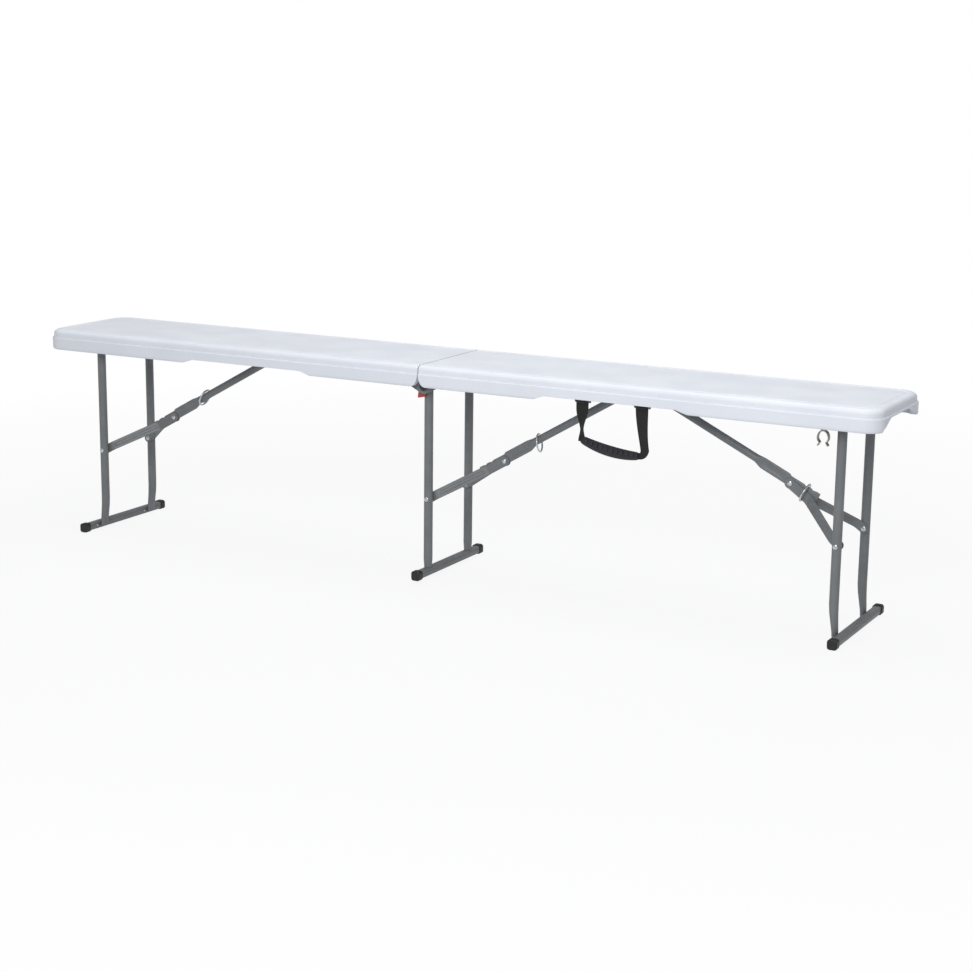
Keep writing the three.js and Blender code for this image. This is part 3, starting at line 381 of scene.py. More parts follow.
def grain_group():
    """Fine moulded or painted grain: height is two noises, one fine and one three times coarser, added."""
    tree, ins, outs = effect(
        "surface_grain", [("Place", "Vector", None), ("Scale", "Float", 900.0)], [("Height", "Float")]
    )
    coarse_scale = add(tree, "Math", {0: ins.outputs["Scale"], 1: 1 / 3}, operation="MULTIPLY")
    fine = add(tree, "TexNoise", {"Vector": ins.outputs["Place"], "Scale": ins.outputs["Scale"], "Detail": 2.0})
    coarse = add(tree, "TexNoise", {"Vector": ins.outputs["Place"], "Scale": coarse_scale.outputs[0], "Detail": 1.0})
    total = add(tree, "Math", {0: fine.outputs["Fac"], 1: coarse.outputs["Fac"]}, operation="ADD")
    tree.links.new(total.outputs[0], outs.inputs["Height"])
    return tree


def mottle_group():
    """Slow change of tone over a surface: a soft noise pulled into the range from 0 to 1."""
    tree, ins, outs = effect("slow_tone", [("Place", "Vector", None), ("Scale", "Float", 12.0)], [("Tone", "Float")])
    noise = add(tree, "TexNoise", {"Vector": ins.outputs["Place"], "Scale": ins.outputs["Scale"], "Detail": 3.0})
    tone = ranged(tree, noise.outputs["Fac"], 0.35, 0.65, 0.0, 1.0)
    tree.links.new(tone, outs.inputs["Tone"])
    return tree


MARK_EDGE = 0.06


def scuff_group():
    """Short handling marks: a stretched noise cut off high, so that only thin streaks are left."""
    tree, ins, outs = effect(
        "handling_marks",
        [("Place", "Vector", None), ("Scale", "Float", 60.0), ("Share", "Float", 0.66)],
        [("Marks", "Float")],
    )
    stretch = {"Vector": ins.outputs["Place"], "Rotation": (0.3, 0.2, 0.9), "Scale": (1.0, 9.0, 3.0)}
    stretched = add(tree, "Mapping", stretch)
    noise = add(tree, "TexNoise", {"Vector": stretched.outputs[0], "Scale": ins.outputs["Scale"], "Detail": 4.0})
    edge = add(tree, "Math", {0: ins.outputs["Share"], 1: MARK_EDGE}, operation="ADD")
    cut = {"Value": noise.outputs["Fac"], "From Min": ins.outputs["Share"], "From Max": edge.outputs[0]}
    marks = add(tree, "MapRange", cut)
    tree.links.new(marks.outputs["Result"], outs.inputs["Marks"])
    return tree


GRAIN = grain_group()
TONE = mottle_group()
MARKS = scuff_group()


def srgb(red, green, blue):
    """A colour given as it looks on screen, from 0 to 255, in the linear values that shaders use."""
    value = np.array([red, green, blue]) / 255.0
    linear = np.where(value <= 0.04045, value / 12.92, ((value + 0.055) / 1.055) ** 2.4)
    return (*linear.tolist(), 1.0)


def finish(
    name, tones, rough, grain, bump, metallic=0.0, marks=None, marks_share=0.66, edge_round=0.0, tone=12.0, gloss=0.5
):
    """A surface finish: two tones mixed by a slow noise, roughness that follows the same noise, grain as a bump.

    tones are two screen colours, rough is (smoothest, roughest), grain and tone are noise scales per metre, bump is
    the grain's height in metres, marks is the colour of handling marks, and gloss the specular level."""
    material, tree = blank_material(name)
    place = add(tree, "TexCoord").outputs["Object"]
    toned = use(tree, TONE, {"Place": place, "Scale": tone}).outputs["Tone"]
    colour = mixed(tree, toned, srgb(*tones[0]), srgb(*tones[1]))
    roughness = ranged(tree, toned, 0.0, 1.0, *rough)
    if marks:
        streaks = use(tree, MARKS, {"Place": place, "Share": marks_share}).outputs["Marks"]
        colour = mixed(tree, streaks, colour, srgb(*marks))
    height = use(tree, GRAIN, {"Place": place, "Scale": grain}).outputs["Height"]
    bumped = add(tree, "Bump", {"Height": height, "Distance": bump, "Strength": 1.0})
    if edge_round:
        softened = add(tree, "Bevel", {"Radius": edge_round}, samples=4)
        tree.links.new(softened.outputs[0], bumped.inputs["Normal"])
    shade = add(tree, "BsdfPrincipled", {
        "Base Color": colour, "Roughness": roughness, "Metallic": metallic, "Specular IOR Level": gloss,
        "Normal": bumped.outputs[0],
    })
    show(tree, shade.outputs[0])
    return material


SEAT_PLASTIC = finish(
    "moulded_seat_plastic", tones=((224, 228, 237), (228, 232, 240)), rough=(0.40, 0.48), grain=700.0, bump=0.00004,
    marks=(216, 220, 230), marks_share=0.70, edge_round=0.0012, gloss=0.35,
)
GREY_STEEL = finish(
    "grey_powder_coat", tones=((116, 119, 121), (124, 127, 129)), rough=(0.40, 0.48), grain=1500.0, bump=0.00003,
    metallic=0.1, marks=(136, 140, 141), marks_share=0.72, edge_round=0.0005, tone=25.0, gloss=0.25,
)
ZINC = finish(
    "bright_zinc_plate", tones=((178, 181, 184), (206, 208, 211)), rough=(0.26, 0.38), grain=1200.0, bump=0.00002,
    metallic=0.9, tone=160.0,
)
SPRING_STEEL = finish(
    "bare_spring_steel", tones=((134, 131, 124), (158, 155, 147)), rough=(0.30, 0.42), grain=1400.0, bump=0.00002,
    metallic=0.85, edge_round=0.0004, tone=90.0,
)
# Near-black colour for the hinge rod: painted shade, standing in for the shade inside the gap at the fold.
ROD_PAINTED_SHADE = finish(
    "hinge_rod_painted_shade", tones=((30, 30, 32), (42, 42, 44)), rough=(0.42, 0.52), grain=1300.0, bump=0.00002, tone=80.0,
)
CAP_PLASTIC = finish(
    "black_cap_plastic", tones=((30, 31, 33), (38, 39, 41)), rough=(0.48, 0.58), grain=1300.0, bump=0.00004,
    edge_round=0.0008, tone=80.0, gloss=0.4,
)
GRIP_RUBBER = finish(
    "grip_rubber", tones=((38, 37, 42), (48, 47, 53)), rough=(0.55, 0.68), grain=1600.0, bump=0.00005, tone=90.0,
    gloss=0.35,
)
LATCH_PLASTIC = finish(
    "red_latch_plastic", tones=((168, 58, 52), (178, 66, 58)), rough=(0.36, 0.46), grain=1200.0, bump=0.00003,
    edge_round=0.0005,
)


def webbing_finish():
    """Woven webbing on its own UV map: u along the strap and v across it, both in thread counts.

    Height is the higher of two half-wave rows that swap every half repeat, which is a plain weave."""
    material, tree = blank_material("woven_webbing")
    place = add(tree, "UVMap", uv_map="threads").outputs[0]
    parts = add(tree, "SeparateXYZ", {0: place})
    waves = []
    for axis in ("X", "Y"):
        turned = add(tree, "Math", {0: parts.outputs[axis], 1: math.pi}, operation="MULTIPLY")
        waves.append(add(tree, "Math", {0: turned.outputs[0]}, operation="SINE").outputs[0])
    checker = add(tree, "Math", {0: waves[0], 1: waves[1]}, operation="MULTIPLY").outputs[0]
    height = ranged(tree, checker, -1.0, 1.0, 0.0, 1.0)
    fuzz = add(tree, "TexNoise", {"Vector": place, "Scale": 3.0, "Detail": 4.0}).outputs["Fac"]
    # The colour is lighter where the weave stands high: a painted highlight on the thread crowns, varied by a random
    # fuzz.
    lit = add(tree, "Math", {0: height, 1: fuzz}, operation="MULTIPLY").outputs[0]
    colour = mixed(tree, lit, srgb(14, 14, 15), srgb(38, 38, 40))
    bumped = add(tree, "Bump", {"Height": height, "Distance": 0.0003, "Strength": 1.0})
    roughness = ranged(tree, fuzz, 0.3, 0.7, 0.75, 0.92)
    inputs = {"Base Color": colour, "Roughness": roughness, "Normal": bumped.outputs[0], "Sheen Weight": 0.15}
    show(tree, add(tree, "BsdfPrincipled", inputs).outputs[0])
    return material


WEBBING = webbing_finish()


# Seat halves


def edge_profile():
    """The moulded edge as rows of (inset, height), from the foot of the skirt to the flat panel.

    A small elliptic foot, the straight skirt, a convex and a concave arc over the ledge, the rolled nose, a
    groove of height -depth cos^2, and a narrow flat margin."""
    ledge = SEAT_TOP - LEDGE_DROP
    t = np.linspace(0, np.pi / 2, 6)
    foot = np.stack([SKIRT_TUCK * (1 - np.sin(t)), SEAT_BOTTOM + SKIRT_EDGE * (1 - np.cos(t))], axis=1)
    skirt = np.array([[0, SEAT_BOTTOM + SKIRT_EDGE + PANEL_MARGIN], [0, ledge - LEDGE_ROUND - PANEL_MARGIN]])
    shoulder = arc((LEDGE_ROUND, ledge - LEDGE_ROUND), LEDGE_ROUND, np.pi, np.pi / 2, 6)
    fillet = arc((LEDGE_ROUND, ledge + LEDGE_FILLET), LEDGE_FILLET, -np.pi / 2, 0, 5)[1:]
    nose = arc((RIM_INSET + NOSE_RADIUS, SEAT_TOP - NOSE_RADIUS), NOSE_RADIUS, np.pi, np.pi / 2, 14)
    g = np.linspace(-1, 1, 11)
    groove = np.stack(
        [GROOVE_INSET + g * GROOVE_WIDTH / 2, SEAT_TOP - GROOVE_DEPTH * np.cos(g * np.pi / 2) ** 2], axis=1
    )
    margins = [[groove[0, 0] - PANEL_MARGIN, SEAT_TOP]]
    flat = [[groove[-1, 0] + PANEL_MARGIN, SEAT_TOP]]
    return np.concatenate([foot, skirt, shoulder, fillet, nose, margins, groove, flat])


def seat_rings(profile, corner_steps=14):
    """The half's outline at each profile point: square at the fold, with corner arcs at the far end.

    The corner radius goes evenly from the skirt's to the panel's with the inset."""
    inset, height = profile[:, 0], profile[:, 1]
    share = inset / (GROOVE_INSET + GROOVE_WIDTH / 2)
    radius = (CORNER_RADIUS + (PANEL_RADIUS - CORNER_RADIUS) * share)[:, None]
    far_x = (HALF_LENGTH - inset)[:, None]
    far_y = (HALF_WIDTH - inset)[:, None]
    t = np.linspace(-np.pi / 2, 0, corner_steps + 1)[None]
    fold = np.full_like(far_x, FOLD_FACE)
    front_x = far_x - radius + radius * np.cos(t)
    front_y = radius - far_y + radius * np.sin(t)
    x = np.concatenate([fold, front_x, front_x[:, ::-1], fold], axis=1)
    y = np.concatenate([-far_y, front_y, -front_y[:, ::-1], far_y], axis=1)
    z = np.broadcast_to(height[:, None], x.shape)
    return np.stack([x, y, z], axis=2)


def seat_blank(name):
    """The half before its hollows: the edge surface, closed by a flat panel, underside and fold face."""
    rings = seat_rings(edge_profile())
    rows, columns = rings.shape[:2]
    faces = grid_faces(rows, columns).tolist()
    bottom = list(range(columns))[::-1]
    panel = [(rows - 1) * columns + k for k in range(columns)]
    fold_front = [k * columns for k in range(rows)]
    fold_rear = [k * columns + columns - 1 for k in range(rows)]
    faces += [bottom, panel, fold_front[::-1] + fold_rear]
    piece = mesh_object(name, rings.reshape(-1, 3), faces, SEAT_PLASTIC)
    turn_out(piece)
    return piece


def seat_cutters(with_clip_pocket):
    """The hollows of a half, each a list of closed prisms."""
    low = SEAT_BOTTOM - OVERRUN
    ceiling = SEAT_TOP - PANEL_THICKNESS
    inner_y = HALF_WIDTH - SKIRT_WALL
    far_x = HALF_LENGTH - END_WALL
    lip_x = FOLD_FACE + LIP_THICKNESS
    out_y = HALF_WIDTH + OVERRUN
    recess = rounded([
        (lip_x, -inner_y, 0), (far_x, -inner_y, RECESS_RADIUS), (far_x, inner_y, RECESS_RADIUS), (lip_x, inner_y, 0),
    ], 8)
    lip = box_outline(FOLD_FACE - OVERRUN, lip_x + OVERRUN, -inner_y, inner_y)
    centre = (FOLD_FACE + FOLD_CORNER_X, SEAT_BOTTOM + FOLD_CORNER_Z)
    corner = np.concatenate([
        [(FOLD_FACE - OVERRUN, low), (centre[0], low)],
        centre + arc((0, 0), 1.0, -np.pi / 2, -np.pi, 14) * (FOLD_CORNER_X, FOLD_CORNER_Z),
        [(FOLD_FACE - OVERRUN, centre[1])],
    ])
    shallow = rounded([
        (SHALLOW_START - SHALLOW_SLOPE, low, 0),
        (SHALLOW_END + SHALLOW_SLOPE, low, 0),
        (SHALLOW_END + SHALLOW_SLOPE, SEAT_BOTTOM, 0),
        (SHALLOW_END, SEAT_BOTTOM + SHALLOW_RISE, SHALLOW_ROUND),
        (SHALLOW_START, SEAT_BOTTOM + SHALLOW_RISE, SHALLOW_ROUND),
        (SHALLOW_START - SHALLOW_SLOPE, SEAT_BOTTOM, 0),
    ], 4)
    flare = HANDHOLD_LIFT / 2
    foot = SEAT_BOTTOM + HANDHOLD_LIFT
    top = SEAT_BOTTOM + HANDHOLD_RISE
    handhold = rounded([
        (-HANDHOLD_FOOT - flare, low, 0),
        (HANDHOLD_FOOT + flare, low, 0),
        (HANDHOLD_FOOT, foot, HANDHOLD_ROUND),
        (HANDHOLD_HALF, top, HANDHOLD_ROUND),
        (-HANDHOLD_HALF, top, HANDHOLD_ROUND),
        (-HANDHOLD_FOOT, foot, HANDHOLD_ROUND),
    ], 6)
    channel = box_outline(CHANNEL_START, CHANNEL_END, -CHANNEL_HALF, CHANNEL_HALF)
    channel = rounded([(x, y, CHANNEL_HALF / 2) for x, y in channel], 6)
    cutters = [
        [prism(recess, low, ceiling, "Z")],
        [prism(lip, low, SEAT_TOP - LIP_DEPTH, "Z")],
        [prism(corner, -out_y, out_y, "Y")],
        [prism(shallow, -out_y, out_y, "Y")],
        [prism(handhold, far_x - OVERRUN, HALF_LENGTH + OVERRUN, "X")],
        [prism(channel, ceiling - OVERRUN, SEAT_TOP - CHANNEL_PANEL, "Z")],
    ]
    if with_clip_pocket:
        clip_low, clip_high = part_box("leg_clip")
        middle = (clip_low.x + clip_high.x) / 2
        pocket = box_outline(
            middle - CLIP_POCKET_HALF, middle + CLIP_POCKET_HALF,
            clip_low.y - CLIP_POCKET_GAP, clip_high.y + CLIP_POCKET_GAP,
        )
        cutters.append([prism(pocket, ceiling - OVERRUN, ceiling + CLIP_POCKET_DEPTH, "Z")])
    return cutters


def carve(piece, cutters):
    """Takes each set of closed cutters out of a piece, and keeps the result as its own mesh."""
    tools = []
    for solids in cutters:
        vertices, faces = [], []
        for places, quads in solids:
            start = sum(map(len, vertices))
            vertices.append(places)
            faces += [[start + k for k in quad] for quad in quads]
        tool = mesh_object("cutter", np.concatenate(vertices), faces, SEAT_PLASTIC)
        turn_out(tool)
        tools.append(tool)
        step = piece.modifiers.new("carve", "BOOLEAN")
        step.object, step.operation, step.solver = tool, "DIFFERENCE", "EXACT"
    graph = bpy.context.evaluated_depsgraph_get()
    carved = bpy.data.meshes.new_from_object(piece.evaluated_get(graph))
    piece.modifiers.clear()
    piece.data = carved
    for tool in tools:
        bpy.data.objects.remove(tool)


def seat_half(node, side):
    """One moulded half. The left one is the mirror image of the same shape, with the clip's pocket."""
    piece = seat_blank(node + "_moulding")
    carve(piece, seat_cutters(side < 0))
    if side < 0:
        piece.data.transform(Matrix.Diagonal((-1, 1, 1, 1)))
        piece.data.flip_normals()
    finish_mesh(piece.data, 28.0)
    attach(piece, frame["nodes"][node]["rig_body"])
    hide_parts(node)
    return piece


seat_half("top_right", 1)
seat_half("top_left", -1)


# Sizes of the steel pieces. BRACE_OFFSET lies between the elbow and the tube's axis, and ramps are (start, end) pairs
# along a brace from its elbow, along an arm from its pivot, back from a pin, or over a section's share of its height

BRACE_OFFSET = 0.0055
TUBE_HALF = 0.0075
BLADE_HALF = 0.011
BLADE_THIN = 0.002
BLADE_SHIFT = 0.0015
BLADE_END = 0.060
BLADE_TAPER = 0.020
BLADE_POWER = 0.62
PANEL_PRESS = 0.0014
PANEL_RAMP = (0.014, 0.020)
PANEL_FADE = (-0.004, 0.010)
PANEL_SHARE = (0.30, 0.52)
TAIL_LENGTH = 0.058
TAIL_STEP = 0.0026
TAIL_RAMP = (0.004, 0.010)
NOTCH_DEPTH = 0.0013
NOTCH_PITCH = 0.016
NOTCH_PLACE = 0.012
NOTCH_EDGE = (0.2, 0.5)
NOTCH_FIRST = (-0.024, -0.020)
NOTCH_LAST = (-0.056, -0.052)
RING_SWELL = 0.0024
SWELL_RISE = (0.082, 0.088)
SWELL_FALL = (0.094, 0.102)
EYE_RADIUS = 0.0065
EYE_TAPER = (0.031, 0.011)
EYE_START = 0.034
FINE_END = 0.100
BORE_SHARES = (0.45, 0.88)
BORE_DEPTH = 0.012
ARM_GAUGE = 0.0025
ARM_PARALLEL = 0.043
ARM_FLAT = 0.015
ARM_END_RADIUS = 0.009
ARM_GAP = 0.0002
ARM_INSET = 0.0003
ARM_FLAT_SHARE = 0.93
EAR_RADIUS = 0.0105
EAR_HALF = 0.0096
RIB_HALF = 0.0027
RIB_RISE = 0.0016
RIB_EDGE = 0.0008
RIB_RAMP = (0.002, 0.009)
RIB_FADE = (0.010, 0.004)
CAP_SHARE = 0.7
TUBE_END = 0.0072
WELD_RADIUS = 0.002
WELD_BEHIND = 0.0065
WELD_SINK = 0.0004
WELD_SHARE = 0.6
CLIP_LIFT = 0.003
CLIP_RISE = (0.0155, 0.026)
CLIP_FALL = (0.030, 0.046)


def smooth(value, start, end):
    """0 before start, 1 after end and 3t^2 - 2t^3 between them."""
    t = np.clip((value - start) / (end - start), 0, 1)
    return t * t * (3 - 2 * t)


def soft_ramp(value, start, end, bend=0.005):
    """A straight rise from 0 at start to 1 at end, with each corner rounded to a parabola over a bend."""
    from_start, from_end = (
        np.where(v < -bend, 0, np.where(v > bend, v, (v + bend) ** 2 / (4 * bend)))
        for v in (value - start, value - end)
    )
    return (from_start - from_end) / (end - start)


def stand_in(piece, node):
    """Puts a piece on a CAD node's body, in its place, and hides the node."""
    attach(piece, frame["nodes"][node]["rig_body"])
    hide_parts(node)


def shorten_cap(mesh):
    """A cap keeps its closed end and is drawn in towards it: y = end + (y - end) share."""
    places = points_of(mesh)
    end = places[np.abs(places[:, 1]).argmax(), 1]
    places[:, 1] = end + (places[:, 1] - end) * CAP_SHARE
    set_points(mesh, places)


def trim_foot(mesh):
    """The left leg's tubes stop part of the way down the floor bar: no point is below the tube's end."""
    places = points_of(mesh)
    places[:, 2] = np.maximum(places[:, 2], TUBE_END)
    set_points(mesh, places)


def lift_clip(mesh):
    """The clip's bow is drawn up, while its lips and its root stay: z rises by a mask that is 1 round the bow."""
    places = points_of(mesh)
    low = places[:, 2].min()
    rise = smooth(places[:, 2], low + CLIP_RISE[0], low + CLIP_RISE[1])
    rise = rise * (1 - smooth(places[:, 2], low + CLIP_FALL[0], low + CLIP_FALL[1]))
    places[:, 2] += CLIP_LIFT * rise
    set_points(mesh, places)


# Rails, legs, brackets, rivets, hinge rod, caps, clip and latch: the CAD shapes, shaded smooth

KINDS = {
    "grey_steel": GREY_STEEL,
    "zinc": ZINC,
    "spring_steel": SPRING_STEEL,
    "cap_plastic": CAP_PLASTIC,
    "latch_plastic": LATCH_PLASTIC,
}
OWN_SHAPES = ("ring_", "brace_", "arm_")
slots = {part["node"]: part["material_slot"] for part in frame["record"]["subparts"]}
for node, slot_name in slots.items():
    if slot_name in KINDS and not node.startswith(OWN_SHAPES):
        # The hinge rod takes the near-black painted shade of the fold's gap in place of a steel colour.
        piece = merged_copy(node, ROD_PAINTED_SHADE if node == "hinge_rod" else KINDS[slot_name])
        if slot_name == "cap_plastic":
            shorten_cap(piece.data)
        elif node.startswith("leg_left_tube"):
            trim_foot(piece.data)
        elif node == "leg_clip":
            lift_clip(piece.data)


# Folding braces and the arms of their yokes


def plane_frame(leg):
    """The brace's pin, the elbow, the arms' lower pivot and the brace's own directions, all in the X-Z plane.

    The tube's axis runs from the pin and passes BRACE_OFFSET above the elbow, so it is turned from the line
    between them by asin(offset / reach). The right leg is the mirror image."""
    pin = np.array(joints[leg + "_brace_swing"]["pos_m"], float)[[0, 2]]
    elbow = np.array(joints[leg + "_elbow"]["pos_m"], float)[[0, 2]]
    low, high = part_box("rivet_" + leg + "_arm_front")
    foot = np.array([(low.x + high.x) / 2, (low.z + high.z) / 2])
    mirror = 1 if pin[0] > elbow[0] else -1
    reach = (pin - elbow) * (mirror, 1)
    turn = math.atan2(reach[1], reach[0]) - math.asin(BRACE_OFFSET / np.linalg.norm(reach))
    along = np.array([mirror * math.cos(turn), math.sin(turn)])
    above = np.array([-mirror * math.sin(turn), math.cos(turn)])
    return pin, elbow, foot, along, above


def in_space(origin, along, above, x, y, z):
    """Points at origin + along x + above z in the X-Z plane, and y on Y."""
    flat = origin + x[..., None] * along + z[..., None] * above
    return np.stack([flat[..., 0], np.broadcast_to(y, x.shape), flat[..., 1]], axis=-1)


def brace_tube(leg, sides=48):
    """A tube that is flattened to a blade at its lower end and to an eye at its pin.

    Each section is a squared oval with half sizes (high, wide) that go from the blade's to the tube's by
    3t^2 - 2t^3. A pressed panel takes its depth times masks of length and height from the blade's sides, and two
    notches take a step from the tail's upper edge. The left brace swells below the tube, under its locking ring."""
    pin, elbow, _, along, above = plane_frame(leg)
    start = elbow + above * BRACE_OFFSET
    reach = float((pin - start) @ along)
    eye = reach - EYE_START
    s = np.concatenate([
        np.linspace(-TAIL_LENGTH, 0, 59)[:-1],
        np.linspace(0, FINE_END, 101)[:-1],
        np.linspace(FINE_END, eye, 40)[:-1],
        np.linspace(eye, reach, 24)[:-1],
        reach + EYE_RADIUS * np.sin(np.linspace(0, np.pi / 2, 10)[:-1]),
    ])
    taper = smooth(s, BLADE_END, BLADE_END + BLADE_TAPER)
    flat = smooth(s, reach - EYE_TAPER[0], reach - EYE_TAPER[1])
    high = BLADE_HALF + (TUBE_HALF - BLADE_HALF) * taper
    wide = BLADE_THIN + (TUBE_HALF - BLADE_THIN) * taper
    high += (EYE_RADIUS - TUBE_HALF) * flat
    wide += (BLADE_THIN - TUBE_HALF) * flat
    high *= np.sqrt(np.clip(1 - (np.clip(s - reach, 0, None) / EYE_RADIUS) ** 2, 0.02, 1))
    shift = -BLADE_SHIFT * (1 - taper)
    across, upright = squared_round(sides, (BLADE_POWER + (1 - BLADE_POWER) * taper)[:, None])
    panel = smooth(s, *PANEL_RAMP) * (1 - smooth(s, BLADE_END + PANEL_FADE[0], BLADE_END + PANEL_FADE[1]))
    pressed = PANEL_PRESS * panel[:, None] * (1 - smooth(np.abs(upright), *PANEL_SHARE))
    notch = smooth(np.cos(2 * np.pi * (s + NOTCH_PLACE) / NOTCH_PITCH), *NOTCH_EDGE)
    notch = notch * (1 - smooth(s, *NOTCH_FIRST)) * smooth(s, *NOTCH_LAST)
    step = TAIL_STEP * (1 - smooth(s, *TAIL_RAMP)) + NOTCH_DEPTH * notch
    swell = (leg == "left") * RING_SWELL * (smooth(s, *SWELL_RISE) - smooth(s, *SWELL_FALL))
    y = across * (wide[:, None] - pressed)
    z = shift[:, None] + upright * high[:, None]
    z = z - np.clip(upright, 0, 1) * step[:, None] + np.clip(upright, -1, 0) * swell[:, None]
    x = np.broadcast_to(s[:, None], z.shape)
    bore = y[:1] * BORE_SHARES[0], z[:1] * BORE_SHARES[1]
    inner = in_space(start, along, above, x[:1], *bore)
    deep = in_space(start, along, above, x[:1] + BORE_DEPTH, *bore)
    rings = np.concatenate([deep, inner, in_space(start, along, above, x, y, z)])
    return closed_tube("brace_" + leg + "_tube", rings, GREY_STEEL)


def yoke_arm(leg, side, rows=181, columns=29):
    """A pressed strip from the elbow's ear to the leg tube, with y going from near to far in a soft ramp.

    The half height is the strip's own, or that of the round ends, sqrt(r^2 - a^2) past each pivot. A raised rib
    stands its rise times a mask over the strip's height and a mask along its ramp. The rows lie at
    u - sin(2 pi u) / 4 pi, closer together at the ends."""
    _, elbow, foot, _, _ = plane_frame(leg)
    reach = float(np.linalg.norm(foot - elbow))
    along = (foot - elbow) / reach
    above = np.array([-along[1], along[0]])
    above *= np.sign(above[1])
    low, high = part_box("arm_" + leg + "_" + side)
    sign = -1 if side == "front" else 1
    outer = (high.y if side == "rear" else -low.y) - ARM_INSET
    near = BLADE_THIN + ARM_GAP + ARM_GAUGE / 2
    far = outer - ARM_GAUGE / 2
    bent = reach - ARM_FLAT
    u = np.linspace(0, 1, rows)
    a = -EAR_RADIUS + (reach + ARM_END_RADIUS + EAR_RADIUS) * (u - np.sin(2 * np.pi * u) / (4 * np.pi))
    middle = near + (far - near) * soft_ramp(a, ARM_PARALLEL, bent)
    half = EAR_HALF + (ARM_END_RADIUS - EAR_HALF) * np.clip((a - ARM_PARALLEL) / (bent - ARM_PARALLEL), 0, 1)
    ear = np.sqrt(np.clip(EAR_RADIUS ** 2 - a ** 2, 1e-8, None))
    half = np.where(a < 0, ear, np.maximum(half, np.where(a < EAR_RADIUS, ear, 0)))
    half = np.where(a > reach, np.sqrt(np.clip(ARM_END_RADIUS ** 2 - (a - reach) ** 2, 1e-8, None)), half)
    share = np.linspace(-1, 1, columns)
    rib = RIB_RISE * smooth(a, ARM_PARALLEL + RIB_RAMP[0], ARM_PARALLEL + RIB_RAMP[1])
    rib = rib * (1 - smooth(a, bent - RIB_FADE[0], bent - RIB_FADE[1]))
    z = half[:, None] * share[None]
    face = middle[:, None] + rib[:, None] * (1 - smooth(np.abs(z), RIB_HALF - RIB_EDGE, RIB_HALF + RIB_EDGE))
    edge = np.clip((np.abs(share) - ARM_FLAT_SHARE) / (1 - ARM_FLAT_SHARE), 0, 1)
    rounding = ARM_GAUGE / 2 * np.sqrt(np.clip(1 - edge ** 2, 0.04, 1))[None]
    y = np.concatenate([face + rounding, (face - rounding)[:, ::-1]], axis=1) * sign
    z = np.concatenate([z, z[:, ::-1]], axis=1)
    rings = in_space(elbow, along, above, np.broadcast_to(a[:, None], z.shape), y, z)
    return closed_tube("arm_" + leg + "_" + side + "_strip", rings, GREY_STEEL, 35.0)


for leg in LEGS:
    stand_in(brace_tube(leg), "brace_" + leg)
    for side in ("front", "rear"):
        stand_in(yoke_arm(leg, side), "arm_" + leg + "_" + side)


# Locking rings


# The photograph's level view line, then each ring's move up its brace, its lift and its two angles in degrees
VIEW_LINE = np.array([-0.47, 0.88, 0.0])
RING_WIRE = 0.0017
RING_SHIFT = {"left": 0.010, "center": 0.010, "right": 0.0}
RING_LIFT = {"left": 0.0085, "center": 0.0, "right": 0.0}
RING_TURN = {"left": (26.0, 24.0), "center": (17.0, -10.0)}


def ring_frame(leg, slide):
    """A ring's axis and two directions in its plane.

    The right ring lies square to its brace. The others lean: their plane is the upright one along a level line,
    turned about that line's upright by the first angle and tipped in it by the second."""
    if leg == "right":
        normal = slide / np.linalg.norm(slide)
        across = np.array([0, 1.0, 0])
        return normal, across, np.cross(normal, across)
    open_angle, lean = np.radians(RING_TURN[leg])
    line = VIEW_LINE / np.linalg.norm(VIEW_LINE)
    level = np.array([line[1], -line[0], 0])
    up = np.array([0, 0, math.cos(lean)]) + level * math.sin(lean)
    side = level * math.cos(lean) - np.array([0, 0, math.sin(lean)])
    normal = math.cos(open_angle) * side - math.sin(open_angle) * line
    return normal, np.cross(up, normal), up


def wire_ring(leg, steps=96, sides=20):
    """A torus: centre + (R + r cos b) (u cos a + v sin a) + r sin b n, where n is the ring's axis."""
    node = "ring_" + leg
    low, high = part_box(node)
    slide = np.array(joints[leg + "_ring_slide"]["axis"], float)
    slide /= np.linalg.norm(slide)
    if slide[2] < 0:
        slide = -slide
    centre = np.array((low + high) / 2) + slide * RING_SHIFT[leg] + (0, 0, RING_LIFT[leg])
    normal, across, up = ring_frame(leg, slide)
    radius = (high.y - low.y) / 2 - RING_WIRE
    a = 2 * np.pi * np.arange(steps) / steps
    b = 2 * np.pi * np.arange(sides) / sides
    a, b = np.meshgrid(a, b, indexing="ij")
    out = across * np.cos(a)[..., None] + up * np.sin(a)[..., None]
    places = centre + out * (radius + RING_WIRE * np.cos(b))[..., None]
    places = places + normal * (RING_WIRE * np.sin(b))[..., None]
    faces = grid_faces(steps, sides, wrap_rows=True, wrap_columns=True)
    piece = mesh_object(node + "_wire", places.reshape(-1, 3), faces, ZINC)
    turn_out(piece)
    stand_in(piece, node)


for leg in LEGS:
    wire_ring(leg)


# Weld beads where the left leg's tubes meet the floor bar, in bright zinc: a real bead with a painted highlight


def weld_mark(name, node, steps=10, sides=16):
    """A low dome on the bar's inner face, beside the tube's end: r cos a round it, share r sin a outwards."""
    bar_low, bar_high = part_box("leg_left_foot_bar")
    tube_low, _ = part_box(node)
    centre = np.array([bar_high.x - WELD_SINK, tube_low.y - WELD_BEHIND, (bar_low.z + bar_high.z) / 2])
    a = np.linspace(0, np.pi / 2, steps)[:, None]
    b = 2 * np.pi * np.arange(sides)[None] / sides
    x = np.broadcast_to(centre[0] + WELD_SHARE * WELD_RADIUS * np.sin(a), (steps, sides))
    round_it = WELD_RADIUS * np.maximum(np.cos(a), 0.02)
    y = centre[1] + round_it * np.cos(b)
    z = centre[2] + round_it * np.sin(b)
    # Bright zinc rather than the frame's grey paint, so that the bead shows as a light dot: a painted highlight on a
    # real bead.
    piece = closed_tube(name, np.stack([x, y, z], axis=2), ZINC)
    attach(piece, frame["nodes"][node]["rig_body"])


weld_mark("weld_left_front", "leg_left_tube_front")
weld_mark("weld_left_rear", "leg_left_tube_rear")


# Carry handle

